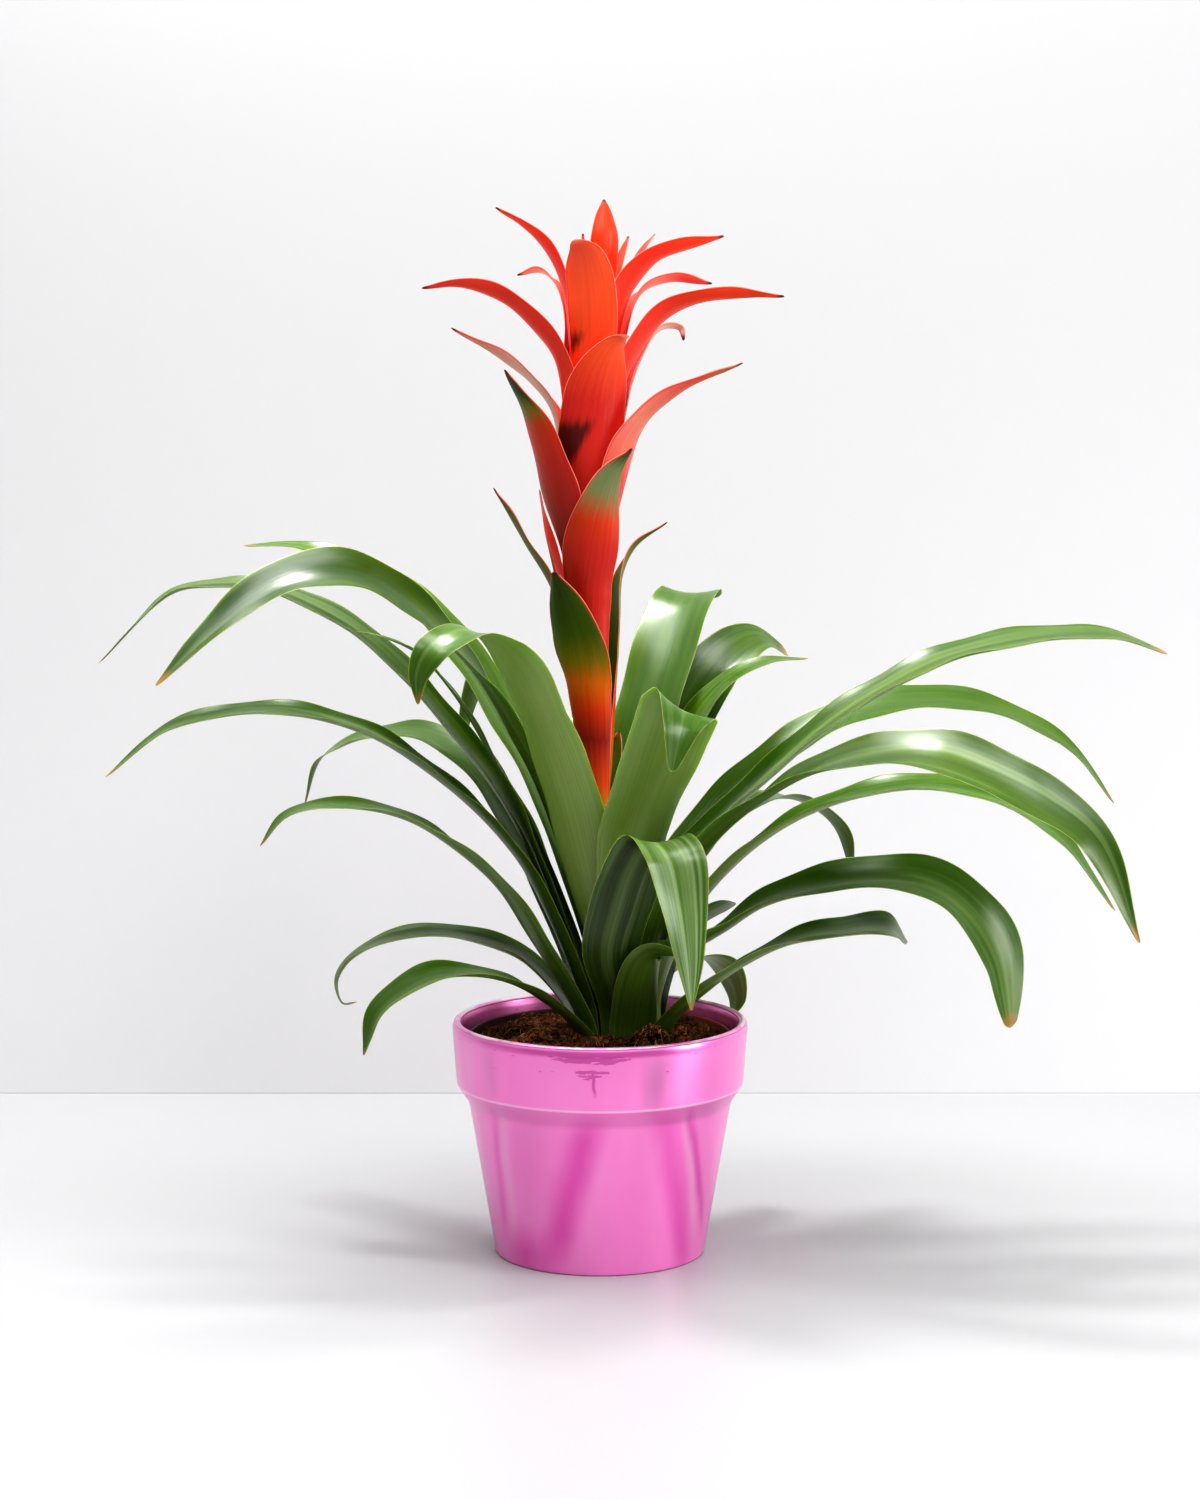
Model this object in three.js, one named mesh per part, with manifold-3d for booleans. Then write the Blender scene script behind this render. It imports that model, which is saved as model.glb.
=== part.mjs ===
// A potted guzmania: a bromeliad with strap leaves in a rosette and a tall head of coloured bracts,
// standing in a plastic nursery pot inside a glazed cover pot. Millimetres, +Z up. The origin is on the
// axis of the cover pot, at the middle of its foot, so z = 0 is the surface the pot stands on.
import * as THREE from 'three';
import { mergeVertices } from 'three/addons/utils/BufferGeometryUtils.js';
import Module from 'manifold-3d';

// Driving dimensions of the cover pot
const POT_HEIGHT = 118;
const RIM_RADIUS = 74;
const RIM_BAND_FOOT_RADIUS = 71.7;
const RIM_BAND_FOOT_HEIGHT = 86.7;
const BODY_TOP_RADIUS = 66.4;
const BODY_TOP_HEIGHT = 80.8;
const FOOT_RADIUS = 53;
const FOOT_CHAMFER = 1.5;
const LIP_ROUND = 2.5;
const POT_WALL = 5;
const POT_FLOOR = 6;
const POT_SIDES = 48;

// Driving dimensions of the nursery pot
const CLEARANCE = 0.3;
const NURSERY_TOP_RADIUS = 65.5;
const NURSERY_FOOT_RADIUS = 45;
const NURSERY_TOP_HEIGHT = 111;
const NURSERY_WALL = 1.2;
const NURSERY_FLOOR_HEIGHT = POT_FLOOR + CLEARANCE;
const DRAIN_HOLES = 6;
const DRAIN_HOLE_RADIUS = 4;
const DRAIN_CIRCLE_RADIUS = 28;
const DRAIN_HOLE_SIDES = 8;

// Driving dimensions of the soil and of the plant's foot in it
const SOIL_EDGE_HEIGHT = 107;
const SOIL_MOUND_HEIGHT = 112;
const SOIL_SHOULDER_RADIUS = 51;
const SOIL_SHOULDER_HEIGHT = 109;
const SOIL_CROWN_RADIUS = 40;
const SOIL_CROWN_HEIGHT = 110;
const SOIL_LUMP = 1.2;
const LUMP_SPACING_X = 33;
const LUMP_SPACING_Y = 27;
const SMALL_LUMP_SPACING_X = 15;
const SMALL_LUMP_SPACING_Y = 19;
const SMALL_LUMP_SHARE = 0.6;
const SOIL_HOLE_FLOOR = 86;
const BUNDLE_RADIUS = 27.8;
const PLANT_OFFSET = 12;
const LEAN_START = 100;
const LEAN_END = 230;
const BOW = 5;
const BOW_START = 230;
const BOW_END = 500;

// Driving dimensions of the stem
const STEM_BASE_HEIGHT = SOIL_HOLE_FLOOR + CLEARANCE;
const STEM_BASE_RADIUS = 26.5;
const STEM_CONE_FOOT = 90;
const STEM_CONE_TOP = 110;
const STEM_CONE_TOP_RADIUS = 6.6;
const STEM_NECK_RADIUS = 5.6;
const STEM_NECK_HEIGHT = 135;
const STEM_TAPER_RADIUS = 5;
const STEM_TAPER_HEIGHT = 162;
const SCAPE_RADIUS = 3.5;
const SCAPE_BRACT_HEIGHT = 188;
const SCAPE_RING_SPACING = 24;
const SCAPE_TOP_CHAMFER = 1.5;
const SCAPE_TOP_HEIGHT = 432;
const STEM_SIDES = 16;

// How the leaf bases are packed: one inside the other, on cones that open upwards
const LEAF_THICKNESS = 0.7;
const LEAF_CLASP = THREE.MathUtils.degToRad(50);
const LEAF_LAYER_RADIUS = 9.5;
const LEAF_LAYER_PITCH = 1.3;
const LEAF_LAYERS = 13;
const LEAF_FLARE = 0.004;
const FLARE_HEIGHT = 110;
const LEAF_DEPARTURE_OUTER = 113;
const LEAF_DEPARTURE_STEP = 3.2;
const LEAF_UNWRAP = 46;
const LEAF_NECK = 0.8;
const LEAF_STRIPS = 6;

// How the bracts clasp the scape
const BRACT_THICKNESS = 0.62;
const BRACT_CLASP = THREE.MathUtils.degToRad(72);
const BRACT_ROOT_RADIUS = 4.2;
const BRACT_SLOPE = 0.108;
const BRACT_UNWRAP = 30;
const BRACT_STRIPS = 6;
const BRACT_STEPS = 8;
const HUG_START = 25;
const HUG_END = 60;

// Rules that every blade shares
const TIP_WIDTH = 1.3;
const BEND_WEIGHT = 26;
const NECK_SHARE = 0.4;
const PATH_SAMPLES = 240;

// The leaves, outermost first. azimuth is in degrees, from the root to the tip, as values evenly
// spaced along the path: 0 points along +X and 270 towards the front. layer counts the nested cones
// outwards from the centre. path lists the midrib after it leaves the cone, as [reach from the axis,
// height]. roll turns the blade about its midrib, by the tip or as one value for each point of the
// path. narrows is the share of the free length where the blade starts to taper, end is the width of a
// tip that was trimmed, and channel is how far the blade is folded up at its base and at its tip.
const LEAVES = [
  {
    azimuth: [215, 200], layer: 12, width: 24, roll: -20,
    path: [[39, 134], [57, 143], [75, 147], [92, 147], [107, 140], [118, 129], [123, 108]],
  },
  {
    azimuth: [318, 362], layer: 12, width: 26, roll: 20, narrows: 0.75, end: 5,
    path: [[64, 139], [82, 153], [101, 163], [125, 167], [143, 166], [153, 158]],
  },
  {
    azimuth: [165, 172], layer: 11, width: 26, roll: -15,
    path: [
      [37, 144], [54, 152], [76, 157], [99, 156], [117, 151], [130, 142], [135, 132], [132, 122],
      [124, 123],
    ],
  },
  {
    azimuth: [60, 50], layer: 11, width: 30,
    path: [[47, 128], [67, 134], [88, 136], [104, 131], [114, 121], [116, 110], [108, 102]],
  },
  {
    azimuth: [205, 196], layer: 10, width: 30, roll: -10,
    path: [[37, 161], [55, 188], [77, 208], [100, 223], [124, 230], [146, 231], [160, 226], [171, 212]],
  },
  {
    azimuth: [285, 303, 320, 333, 341, 345, 348, 350, 351, 352, 352], layer: 10, width: 32, roll: 42,
    narrows: 0.8, end: 7,
    path: [
      [47, 155], [55, 158], [68, 167], [87, 181], [117, 191], [151, 194], [171, 188], [188, 173],
      [198, 155], [204, 119],
    ],
  },
  {
    azimuth: [145, 140], layer: 9, width: 26, roll: -25,
    path: [
      [38, 182], [55, 211], [76, 235], [97, 248], [120, 253], [146, 251], [172, 244], [194, 233],
      [207, 208],
    ],
  },
  { azimuth: [28, 28], layer: 9, width: 20, end: 16, path: [[45, 152], [58, 163], [77, 171]] },
  {
    azimuth: [275, 279, 283, 287, 290, 292, 293], layer: 8, width: 34, channel: [0.6, 0.3],
    path: [[44, 158], [58, 182], [76, 206], [94, 220], [104, 214], [108, 193], [110, 167], [110, 142]],
  },
  {
    azimuth: [48, 36], layer: 8, width: 28,
    path: [[45, 168], [67, 193], [91, 210], [114, 218], [134, 217], [151, 209], [162, 196], [165, 173]],
  },
  {
    azimuth: [342, 351], layer: 7, width: 32, roll: 15,
    path: [
      [48, 172], [70, 199], [97, 220], [126, 233], [155, 239], [181, 238], [205, 230], [228, 214],
      [254, 179],
    ],
  },
  {
    azimuth: [192, 186], layer: 7, width: 32, roll: -12,
    path: [
      [36, 190], [50, 210], [68, 229], [90, 247], [113, 262], [138, 271], [163, 275], [188, 273],
      [212, 267], [243, 243],
    ],
  },
  {
    azimuth: [325, 336], layer: 6, width: 36, roll: 45,
    path: [
      [50, 190], [67, 213], [94, 235], [122, 251], [151, 259], [180, 261], [207, 253], [232, 241],
      [254, 224], [275, 176],
    ],
  },
  {
    azimuth: [170, 172], layer: 6, width: 32, roll: -10,
    path: [
      [36, 202], [50, 228], [67, 251], [97, 286], [121, 308], [149, 324], [172, 332], [194, 333],
      [217, 329], [256, 293],
    ],
  },
  {
    azimuth: [40, 12], layer: 5, width: 30, roll: 35,
    path: [
      [44, 184], [80, 223], [108, 244], [135, 260], [167, 269], [199, 270], [230, 261], [254, 244],
      [270, 219],
    ],
  },
  {
    azimuth: [184, 190], layer: 5, width: 17,
    path: [[31, 199], [40, 222], [54, 250], [72, 281], [90, 302], [108, 311], [121, 314]],
  },
  {
    azimuth: [6, 9], layer: 4, width: 34, roll: 12, narrows: 0.7, end: 6,
    path: [
      [37, 192], [58, 214], [88, 241], [116, 264], [145, 282], [175, 296], [204, 303], [236, 307],
      [264, 306], [292, 297],
    ],
  },
  {
    azimuth: [110, 119], layer: 4, width: 30,
    path: [[36, 212], [58, 246], [85, 268], [115, 282], [138, 279], [151, 262], [153, 240]],
  },
  {
    azimuth: [298, 287], layer: 3, width: 39, roll: [-2, -10, -22, -30, -20, -8], end: 4, power: 1,
    narrows: 0.8,
    path: [[40, 212], [64, 244], [88, 270], [106, 284], [114, 277], [114, 256]],
  },
  {
    azimuth: [50, 44], layer: 3, width: 34, roll: 40, narrows: 0.6, end: 9,
    path: [[33, 208], [49, 238], [70, 270], [91, 292], [116, 302], [136, 293]],
  },
  {
    azimuth: [254, 251, 247, 242, 238, 234, 232, 231, 230, 228, 226, 225], layer: 2, width: 33,
    neck: 0.65, roll: [3, 5, 3, 0, 0, -2, -8, -18, -26, -28, -24], channel: [0.45, 0.3], narrows: 0.62,
    path: [
      [25, 204], [37, 232], [47, 256], [56, 276], [64, 295], [79, 311], [96, 318], [110, 315], [119, 309],
      [122, 299], [121, 285],
    ],
  },
  {
    azimuth: [142, 156], layer: 2, width: 30, roll: -18,
    path: [[38, 230], [55, 257], [79, 292], [107, 321], [139, 339], [170, 350], [202, 350]],
  },
  {
    azimuth: [196, 203], layer: 1, width: 34, roll: [3, 0, -10, -24, -34, -38, -38, -38, -38, -38],
    path: [
      [30, 232], [45, 261], [61, 288], [78, 309], [102, 331], [127, 344], [153, 344], [178, 334],
      [203, 315], [226, 294],
    ],
  },
  {
    azimuth: [30, 22], layer: 1, width: 26, roll: 10,
    path: [[34, 230], [49, 257], [62, 276], [76, 288], [92, 294], [114, 295]],
  },
  {
    azimuth: [48, 64], layer: 0, width: 38, end: 30, narrows: 0.75, channel: [0.5, 0.3],
    path: [[20, 200], [29, 234], [44, 268], [63, 299], [83, 320], [99, 325], [109, 321]],
  },
];

// The bracts, lowest first. root is the height of the root on the scape, leaves the height where the
// bract comes off the cone, and slope how fast its cone opens where it isn't the common one.
const BRACTS = [
  { azimuth: [48, 40], root: 192, leaves: 236, width: 22, path: [[12, 248], [15, 262]] },
  {
    azimuth: [240, 228], root: 203, leaves: 280, width: 34, channel: [0.6, 0.5], narrows: 0.3, power: 2.2,
    end: 3,
    path: [[17, 309], [22, 327], [27, 343]],
  },
  {
    azimuth: [40, 3], root: 222, leaves: 300, width: 24, roll: -25,
    path: [[15, 322], [17, 340], [24, 355], [37, 366]],
  },
  {
    azimuth: [178, 178], root: 234, leaves: 310, width: 24, roll: 25,
    path: [[20, 335], [32, 355], [42, 370], [52, 383]],
  },
  { azimuth: [160, 165], root: 245, leaves: 316, width: 21, path: [[17, 337], [22, 359], [26, 382]] },
  {
    azimuth: [257, 308], root: 255, leaves: 330, width: 30, narrows: 0.25, power: 1.8,
    path: [[17, 350], [22, 373], [26, 391], [32, 403]],
  },
  {
    azimuth: [224, 215], root: 268, leaves: 345, width: 31, narrows: 0.35, power: 1.8,
    path: [[18, 365], [26, 389], [36, 414], [56, 441]],
  },
  {
    azimuth: [304, 356], root: 280, leaves: 364, width: 22, roll: -25,
    path: [[18, 388], [23, 409], [38, 428], [70, 444]],
  },
  {
    azimuth: [266, 303], root: 290, leaves: 378, width: 34, steps: 12, channel: [0.55, 0.45],
    narrows: 0.5, end: 3, power: 2.2,
    path: [[15, 412], [18, 432], [22, 446], [26, 454], [30, 457]],
  },
  {
    azimuth: [165, 172], root: 300, leaves: 392, width: 26, roll: 35,
    path: [[20, 420], [31, 434], [49, 447], [74, 461]],
  },
  {
    azimuth: [32, 20], root: 311, leaves: 402, width: 26, roll: -35,
    path: [[22, 437], [35, 460], [44, 461], [45, 455]],
  },
  {
    azimuth: [345, 354], root: 322, leaves: 412, width: 28, roll: -45,
    path: [[18, 441], [36, 469], [64, 477], [90, 476]],
  },
  {
    azimuth: [194, 186], root: 333, leaves: 417, width: 28, roll: 45,
    path: [[19, 446], [31, 462], [50, 477], [70, 482], [87, 480]],
  },
  {
    azimuth: [138, 150], root: 344, leaves: 432, width: 24, roll: 30,
    path: [[17, 464], [24, 481], [35, 489], [47, 487]],
  },
  {
    azimuth: [38, 28], root: 355, leaves: 438, width: 26, roll: -40,
    path: [[18, 465], [27, 479], [42, 485], [63, 483]],
  },
  {
    azimuth: [266, 243], root: 366, leaves: 445, width: 26, steps: 12, channel: [0.6, 0.3], narrows: 0.6,
    end: 5, power: 2.4,
    path: [[17, 472], [19, 486], [22, 497], [27, 503]],
  },
  {
    azimuth: [186, 184], root: 377, leaves: 450, width: 25, roll: 32,
    path: [[17, 480], [26, 499], [38, 511], [51, 519]],
  },
  {
    azimuth: [335, 350], root: 388, leaves: 455, width: 28, roll: -40,
    path: [[16, 478], [26, 493], [41, 500], [61, 505]],
  },
  {
    azimuth: [25, 25], root: 398, leaves: 464, slope: 0.11, width: 18,
    path: [[16, 484], [23, 498], [30, 507]],
  },
  { azimuth: [52, 50], root: 408, leaves: 467, slope: 0.1, width: 14, path: [[14, 488], [22, 506]] },
  { azimuth: [135, 135], root: 417, leaves: 470, slope: 0.09, width: 14, path: [[11, 490], [12, 507]] },
  {
    azimuth: [300, 300], root: 426, leaves: 476, slope: 0.06, width: 19, channel: [1, 0.8], narrows: 0.5,
    power: 2,
    path: [[8, 494], [8, 507], [6, 516], [4, 523]],
  },
];

const material = (color, roughness, metalness = 0) =>
  new THREE.MeshStandardMaterial({ color, roughness, metalness });

const glaze = material(0xd667b4, 0.25, 0.3);
const terracottaPlastic = material(0xb0583a, 0.6);
const peat = material(0x3b2416, 0.95);
const stemGreen = material(0x7d8a3c, 0.6);
const leafGreen = material(0x3f6b2a, 0.4);
const bractRed = material(0xe23b1c, 0.45);

const TURN = 2 * Math.PI;
const smoothstep = (from, to, x) => THREE.MathUtils.smoothstep(x, from, to);

// The plant stands a little to the right in the soil, leans back to the pot's axis as it grows, and its
// flower stem bows slightly to the left
function axisOffset(height) {
  const lean = PLANT_OFFSET * (1 - smoothstep(LEAN_START, LEAN_END, height));
  const along = THREE.MathUtils.clamp((height - BOW_START) / (BOW_END - BOW_START), 0, 1);
  return lean - BOW * Math.sin(Math.PI * along);
}

const onCone = (azimuth, radius, height) => new THREE.Vector3(
  axisOffset(height) + radius * Math.cos(azimuth),
  radius * Math.sin(azimuth),
  height,
);

// hug is how far the point follows the lean and the bow of the axis: 1 is fully
const onAxis = (azimuth, reach, height, hug) => new THREE.Vector3(
  hug * axisOffset(height) + reach * Math.cos(azimuth),
  reach * Math.sin(azimuth),
  height,
);

// The value at a share of the way along a list of evenly spaced values
function listed(values, share) {
  const place = share * (values.length - 1);
  const before = Math.min(Math.floor(place), values.length - 2);
  return THREE.MathUtils.lerp(values[before], values[before + 1], place - before);
}

// Stations along a curve, closer together where it bends, each with its place and its share of the length
function stationsAlong(curve, steps) {
  const samples = [];
  for (let i = 0; i <= PATH_SAMPLES; i += 1) {
    samples.push({ point: curve.getPoint(i / PATH_SAMPLES), t: i / PATH_SAMPLES, length: 0, measure: 0 });
  }
  for (let i = 1; i <= PATH_SAMPLES; i += 1) {
    const [before, here, after] = [samples[i - 1], samples[i], samples[Math.min(i + 1, PATH_SAMPLES)]];
    const travel = here.point.clone().sub(before.point);
    const next = after.point.clone().sub(here.point);
    const turn = next.lengthSq() > 0 ? travel.angleTo(next) : 0;
    here.length = before.length + travel.length();
    here.measure = before.measure + travel.length() + BEND_WEIGHT * turn;
  }
  const last = samples[PATH_SAMPLES];
  const stations = [];
  let i = 0;
  for (let step = 0; step <= steps; step += 1) {
    const wanted = (last.measure * step) / steps;
    while (i < PATH_SAMPLES - 1 && samples[i + 1].measure < wanted) i += 1;
    const [low, high] = [samples[i], samples[i + 1]];
    const share = THREE.MathUtils.clamp((wanted - low.measure) / (high.measure - low.measure), 0, 1);
    const t = THREE.MathUtils.lerp(low.t, high.t, share);
    const length = THREE.MathUtils.lerp(low.length, high.length, share);
    stations.push({ t, length, point: curve.getPoint(t), tangent: curve.getTangent(t) });
  }
  return { stations, total: last.length };
}

// A blade clasps the axis on a cone at its root, leaves the cone at `leaves` and follows `path` to its
// tip. Its section is an arc: round the axis on the cone, and a shallow channel on the free part.
function bladeGeometry(blade) {
  const azimuths = blade.azimuth.map(THREE.MathUtils.degToRad);
  const coneRadius = (height) => blade.rootRadius + blade.slope * (height - blade.root);
  const middle = (blade.root + blade.leaves) / 2;
  const points = [blade.root, middle, blade.leaves].map(
    (height) => onCone(azimuths[0], coneRadius(height), height));
  blade.path.forEach(([reach, height], i) => {
    const azimuth = listed(azimuths, (i + 1) / blade.path.length);
    const hug = blade.hugs * (1 - smoothstep(HUG_START, HUG_END, reach));
    points.push(onAxis(azimuth, reach, height, hug));
  });
  const rolls = [0].concat(Array.isArray(blade.roll) ? blade.roll
    : blade.path.map((_, i) => blade.roll * smoothstep(0, 1, (i + 1) / blade.path.length)));
  const curve = new THREE.CatmullRomCurve3(points, false, 'centripetal');
  const { stations, total } = stationsAlong(curve, blade.steps);
  const departure = 2 / (points.length - 1);
  const { length: coneLength } = stationsAlong(curve, PATH_SAMPLES).stations
    .find((station) => station.t >= departure);

  const rows = stations.map((station) => {
    const free = THREE.MathUtils.clamp((station.length - coneLength) / (total - coneLength), 0, 1);
    const clasp = 1 - smoothstep(coneLength, coneLength + blade.unwrap, station.length);
    const azimuth = listed(azimuths, free);
    const tangent = station.tangent.normalize();
    const level = new THREE.Vector3(-Math.sin(azimuth), Math.cos(azimuth), 0);
    const side = level.clone().addScaledVector(tangent, -level.dot(tangent)).normalize();
    const up = tangent.clone().cross(side);
    const place = Math.max(0, station.t * (points.length - 1) - 2);
    const roll = THREE.MathUtils.degToRad(listed(rolls, place / blade.path.length));
    const turnedSide = side.clone().multiplyScalar(Math.cos(roll)).addScaledVector(up, Math.sin(roll));
    const turnedUp = up.clone().multiplyScalar(Math.cos(roll)).addScaledVector(side, -Math.sin(roll));
    const inward = new THREE.Vector3(-Math.cos(azimuth), -Math.sin(azimuth), 0);
    const across = turnedSide.lerp(level, clasp).normalize();
    const facing = turnedUp.lerp(inward, clasp).normalize();

    const radius = coneRadius(Math.min(station.point.z, blade.leaves));
    const grown = blade.width * THREE.MathUtils.lerp(blade.neck, 1, smoothstep(0, NECK_SHARE, free));
    const fullWidth = Math.min(2 * blade.clasp * radius + blade.width * (1 - clasp), grown);
    const past = Math.max(0, (free - blade.narrows) / (1 - blade.narrows));
    const width = THREE.MathUtils.lerp(fullWidth, blade.end, past ** blade.power);
    const channel = THREE.MathUtils.lerp(blade.channel[0], blade.channel[1], free);
    const bend = THREE.MathUtils.lerp(channel, width / 2 / radius, clasp);
    return { point: station.point, across, facing, half: width / 2, bend };
  });

  const columns = blade.strips + 1;
  const positions = [];
  for (const faceSide of [1, -1]) {
    for (const row of rows) {
      for (let column = 0; column < columns; column += 1) {
        const angle = row.bend * ((2 * column) / blade.strips - 1);
        const arc = row.half / row.bend;
        const normalAcross = -Math.sin(angle) * faceSide * blade.thickness / 2;
        const normalUp = Math.cos(angle) * faceSide * blade.thickness / 2;
        const point = row.point.clone()
          .addScaledVector(row.across, arc * Math.sin(angle) + normalAcross)
          .addScaledVector(row.facing, arc * (1 - Math.cos(angle)) + normalUp);
        positions.push(point.x, point.y, point.z);
      }
    }
  }
  return closedSheet(positions, rows.length, columns);
}

// Two grids of points, face up and face down, are joined along their rims into one closed body.
// Both faces are split along the same diagonals.
function closedSheet(positions, rowCount, columns) {
  const upper = (row, column) => row * columns + column;
  const lower = (row, column) => (rowCount + row) * columns + column;
  const index = [];
  const quad = (a, b, c, d) => index.push(a, b, c, a, c, d);
  for (let row = 0; row < rowCount - 1; row += 1) {
    for (let column = 0; column < columns - 1; column += 1) {
      quad(upper(row, column), upper(row + 1, column), upper(row + 1, column + 1), upper(row, column + 1));
      const [a, b] = [lower(row, column), lower(row + 1, column)];
      const [c, d] = [lower(row + 1, column + 1), lower(row, column + 1)];
      index.push(a, c, b, a, d, c);
    }
    const last = columns - 1;
    quad(upper(row, 0), lower(row, 0), lower(row + 1, 0), upper(row + 1, 0));
    quad(upper(row, last), upper(row + 1, last), lower(row + 1, last), lower(row, last));
  }
  for (let column = 0; column < columns - 1; column += 1) {
    const tip = rowCount - 1;
    quad(upper(0, column), upper(0, column + 1), lower(0, column + 1), lower(0, column));
    quad(upper(tip, column), lower(tip, column), lower(tip, column + 1), upper(tip, column + 1));
  }
  const geometry = new THREE.BufferGeometry();
  geometry.setAttribute('position', new THREE.Float32BufferAttribute(positions, 3));
  geometry.setIndex(index);
  return geometry;
}

// A profile of [radius, height] points turned about the Z axis. It runs so that the solid is on its left.
function turned(profile, sides) {
  const points = profile.map(([radius, height]) => new THREE.Vector2(radius, height));
  const geometry = new THREE.LatheGeometry(points, sides);
  geometry.rotateX(Math.PI / 2);
  return welded(geometry);
}

function welded(geometry) {
  geometry.deleteAttribute('normal');
  geometry.deleteAttribute('uv');
  return mergeVertices(geometry, 1e-4);
}

// Every vertex is moved sideways with the plant's axis at its height
function leant(geometry) {
  const position = geometry.getAttribute('position');
  for (let i = 0; i < position.count; i += 1) {
    position.setX(i, position.getX(i) + axisOffset(position.getZ(i)));
  }
  return geometry;
}

function coverPot() {
  const lip = [];
  const lipCentre = [RIM_RADIUS - LIP_ROUND, POT_HEIGHT - LIP_ROUND];
  for (let i = 0; i <= 4; i += 1) {
    const angle = (Math.PI * i) / 4;
    lip.push([lipCentre[0] + LIP_ROUND * Math.cos(angle), lipCentre[1] + LIP_ROUND * Math.sin(angle)]);
  }
  return turned([
    [0, 0],
    [FOOT_RADIUS - FOOT_CHAMFER, 0],
    [FOOT_RADIUS, FOOT_CHAMFER],
    [BODY_TOP_RADIUS, BODY_TOP_HEIGHT],
    [RIM_BAND_FOOT_RADIUS, RIM_BAND_FOOT_HEIGHT],
    ...lip,
    [RIM_BAND_FOOT_RADIUS - POT_WALL, RIM_BAND_FOOT_HEIGHT],
    [BODY_TOP_RADIUS - POT_WALL, BODY_TOP_HEIGHT],
    [FOOT_RADIUS - POT_WALL, POT_FLOOR],
    [0, POT_FLOOR],
  ], POT_SIDES);
}

const wasm = await Module();
wasm.setup();

function toSolid(geometry) {
  return new wasm.Manifold(new wasm.Mesh({
    numProp: 3,
    vertProperties: new Float32Array(geometry.getAttribute('position').array),
    triVerts: new Uint32Array(geometry.getIndex().array),
  }));
}

function toGeometry(solid) {
  const mesh = solid.getMesh();
  const geometry = new THREE.BufferGeometry();
  geometry.setAttribute('position', new THREE.Float32BufferAttribute(mesh.vertProperties, 3));
  geometry.setIndex([...mesh.triVerts]);
  return geometry;
}

function nurseryPot() {
  let pot = toSolid(turned([
    [0, NURSERY_FLOOR_HEIGHT],
    [NURSERY_FOOT_RADIUS, NURSERY_FLOOR_HEIGHT],
    [NURSERY_TOP_RADIUS, NURSERY_TOP_HEIGHT],
    [NURSERY_TOP_RADIUS - NURSERY_WALL, NURSERY_TOP_HEIGHT],
    [NURSERY_FOOT_RADIUS - NURSERY_WALL, NURSERY_FLOOR_HEIGHT + NURSERY_WALL],
    [0, NURSERY_FLOOR_HEIGHT + NURSERY_WALL],
  ], POT_SIDES));
  for (let i = 0; i < DRAIN_HOLES; i += 1) {
    const angle = (TURN * i) / DRAIN_HOLES;
    const drill = new THREE.CylinderGeometry(
      DRAIN_HOLE_RADIUS, DRAIN_HOLE_RADIUS, 4 * NURSERY_WALL, DRAIN_HOLE_SIDES);
    drill.rotateX(Math.PI / 2);
    drill.translate(
      DRAIN_CIRCLE_RADIUS * Math.cos(angle),
      DRAIN_CIRCLE_RADIUS * Math.sin(angle),
      NURSERY_FLOOR_HEIGHT + NURSERY_WALL / 2,
    );
    pot = pot.subtract(toSolid(welded(drill)));
  }
  return toGeometry(pot);
}

// The soil fills the nursery pot, rises towards the plant with a few low lumps, and has a plain round
// hole for the foot of the plant, set over with it
function soil() {
  const wall = NURSERY_WALL + CLEARANCE;
  const slope = (NURSERY_TOP_RADIUS - NURSERY_FOOT_RADIUS) / (NURSERY_TOP_HEIGHT - NURSERY_FLOOR_HEIGHT);
  const foot = NURSERY_FLOOR_HEIGHT + wall;
  const footRadius = NURSERY_FOOT_RADIUS - wall;
  const edgeRadius = NURSERY_TOP_RADIUS - wall - slope * (NURSERY_TOP_HEIGHT - SOIL_EDGE_HEIGHT);
  const holeRadius = BUNDLE_RADIUS + CLEARANCE;
  const rings = [
    [0, foot], [footRadius, foot], [edgeRadius, SOIL_EDGE_HEIGHT],
    [SOIL_SHOULDER_RADIUS, SOIL_SHOULDER_HEIGHT], [SOIL_CROWN_RADIUS, SOIL_CROWN_HEIGHT],
    [holeRadius, SOIL_MOUND_HEIGHT], [holeRadius, SOIL_HOLE_FLOOR], [0, SOIL_HOLE_FLOOR],
  ];
  const geometry = turned(rings, POT_SIDES);
  const position = geometry.getAttribute('position');
  for (let i = 0; i < position.count; i += 1) {
    const [x, y, z] = [position.getX(i), position.getY(i), position.getZ(i)];
    const radius = Math.hypot(x, y);
    const towardsPlant = z > foot + 1 ? 1 - smoothstep(holeRadius, edgeRadius, radius) : 0;
    const onTop = radius > holeRadius - 0.1 && radius < edgeRadius - 0.1 && z > SOIL_EDGE_HEIGHT - 1;
    const lump = Math.sin(TURN * x / LUMP_SPACING_X + 1) * Math.cos(TURN * y / LUMP_SPACING_Y)
      + SMALL_LUMP_SHARE * Math.sin(TURN * (x / SMALL_LUMP_SPACING_X - y / SMALL_LUMP_SPACING_Y));
    position.setXYZ(i, x + PLANT_OFFSET * towardsPlant, y, z + (onTop ? SOIL_LUMP * lump : 0));
  }
  return geometry;
}

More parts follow.
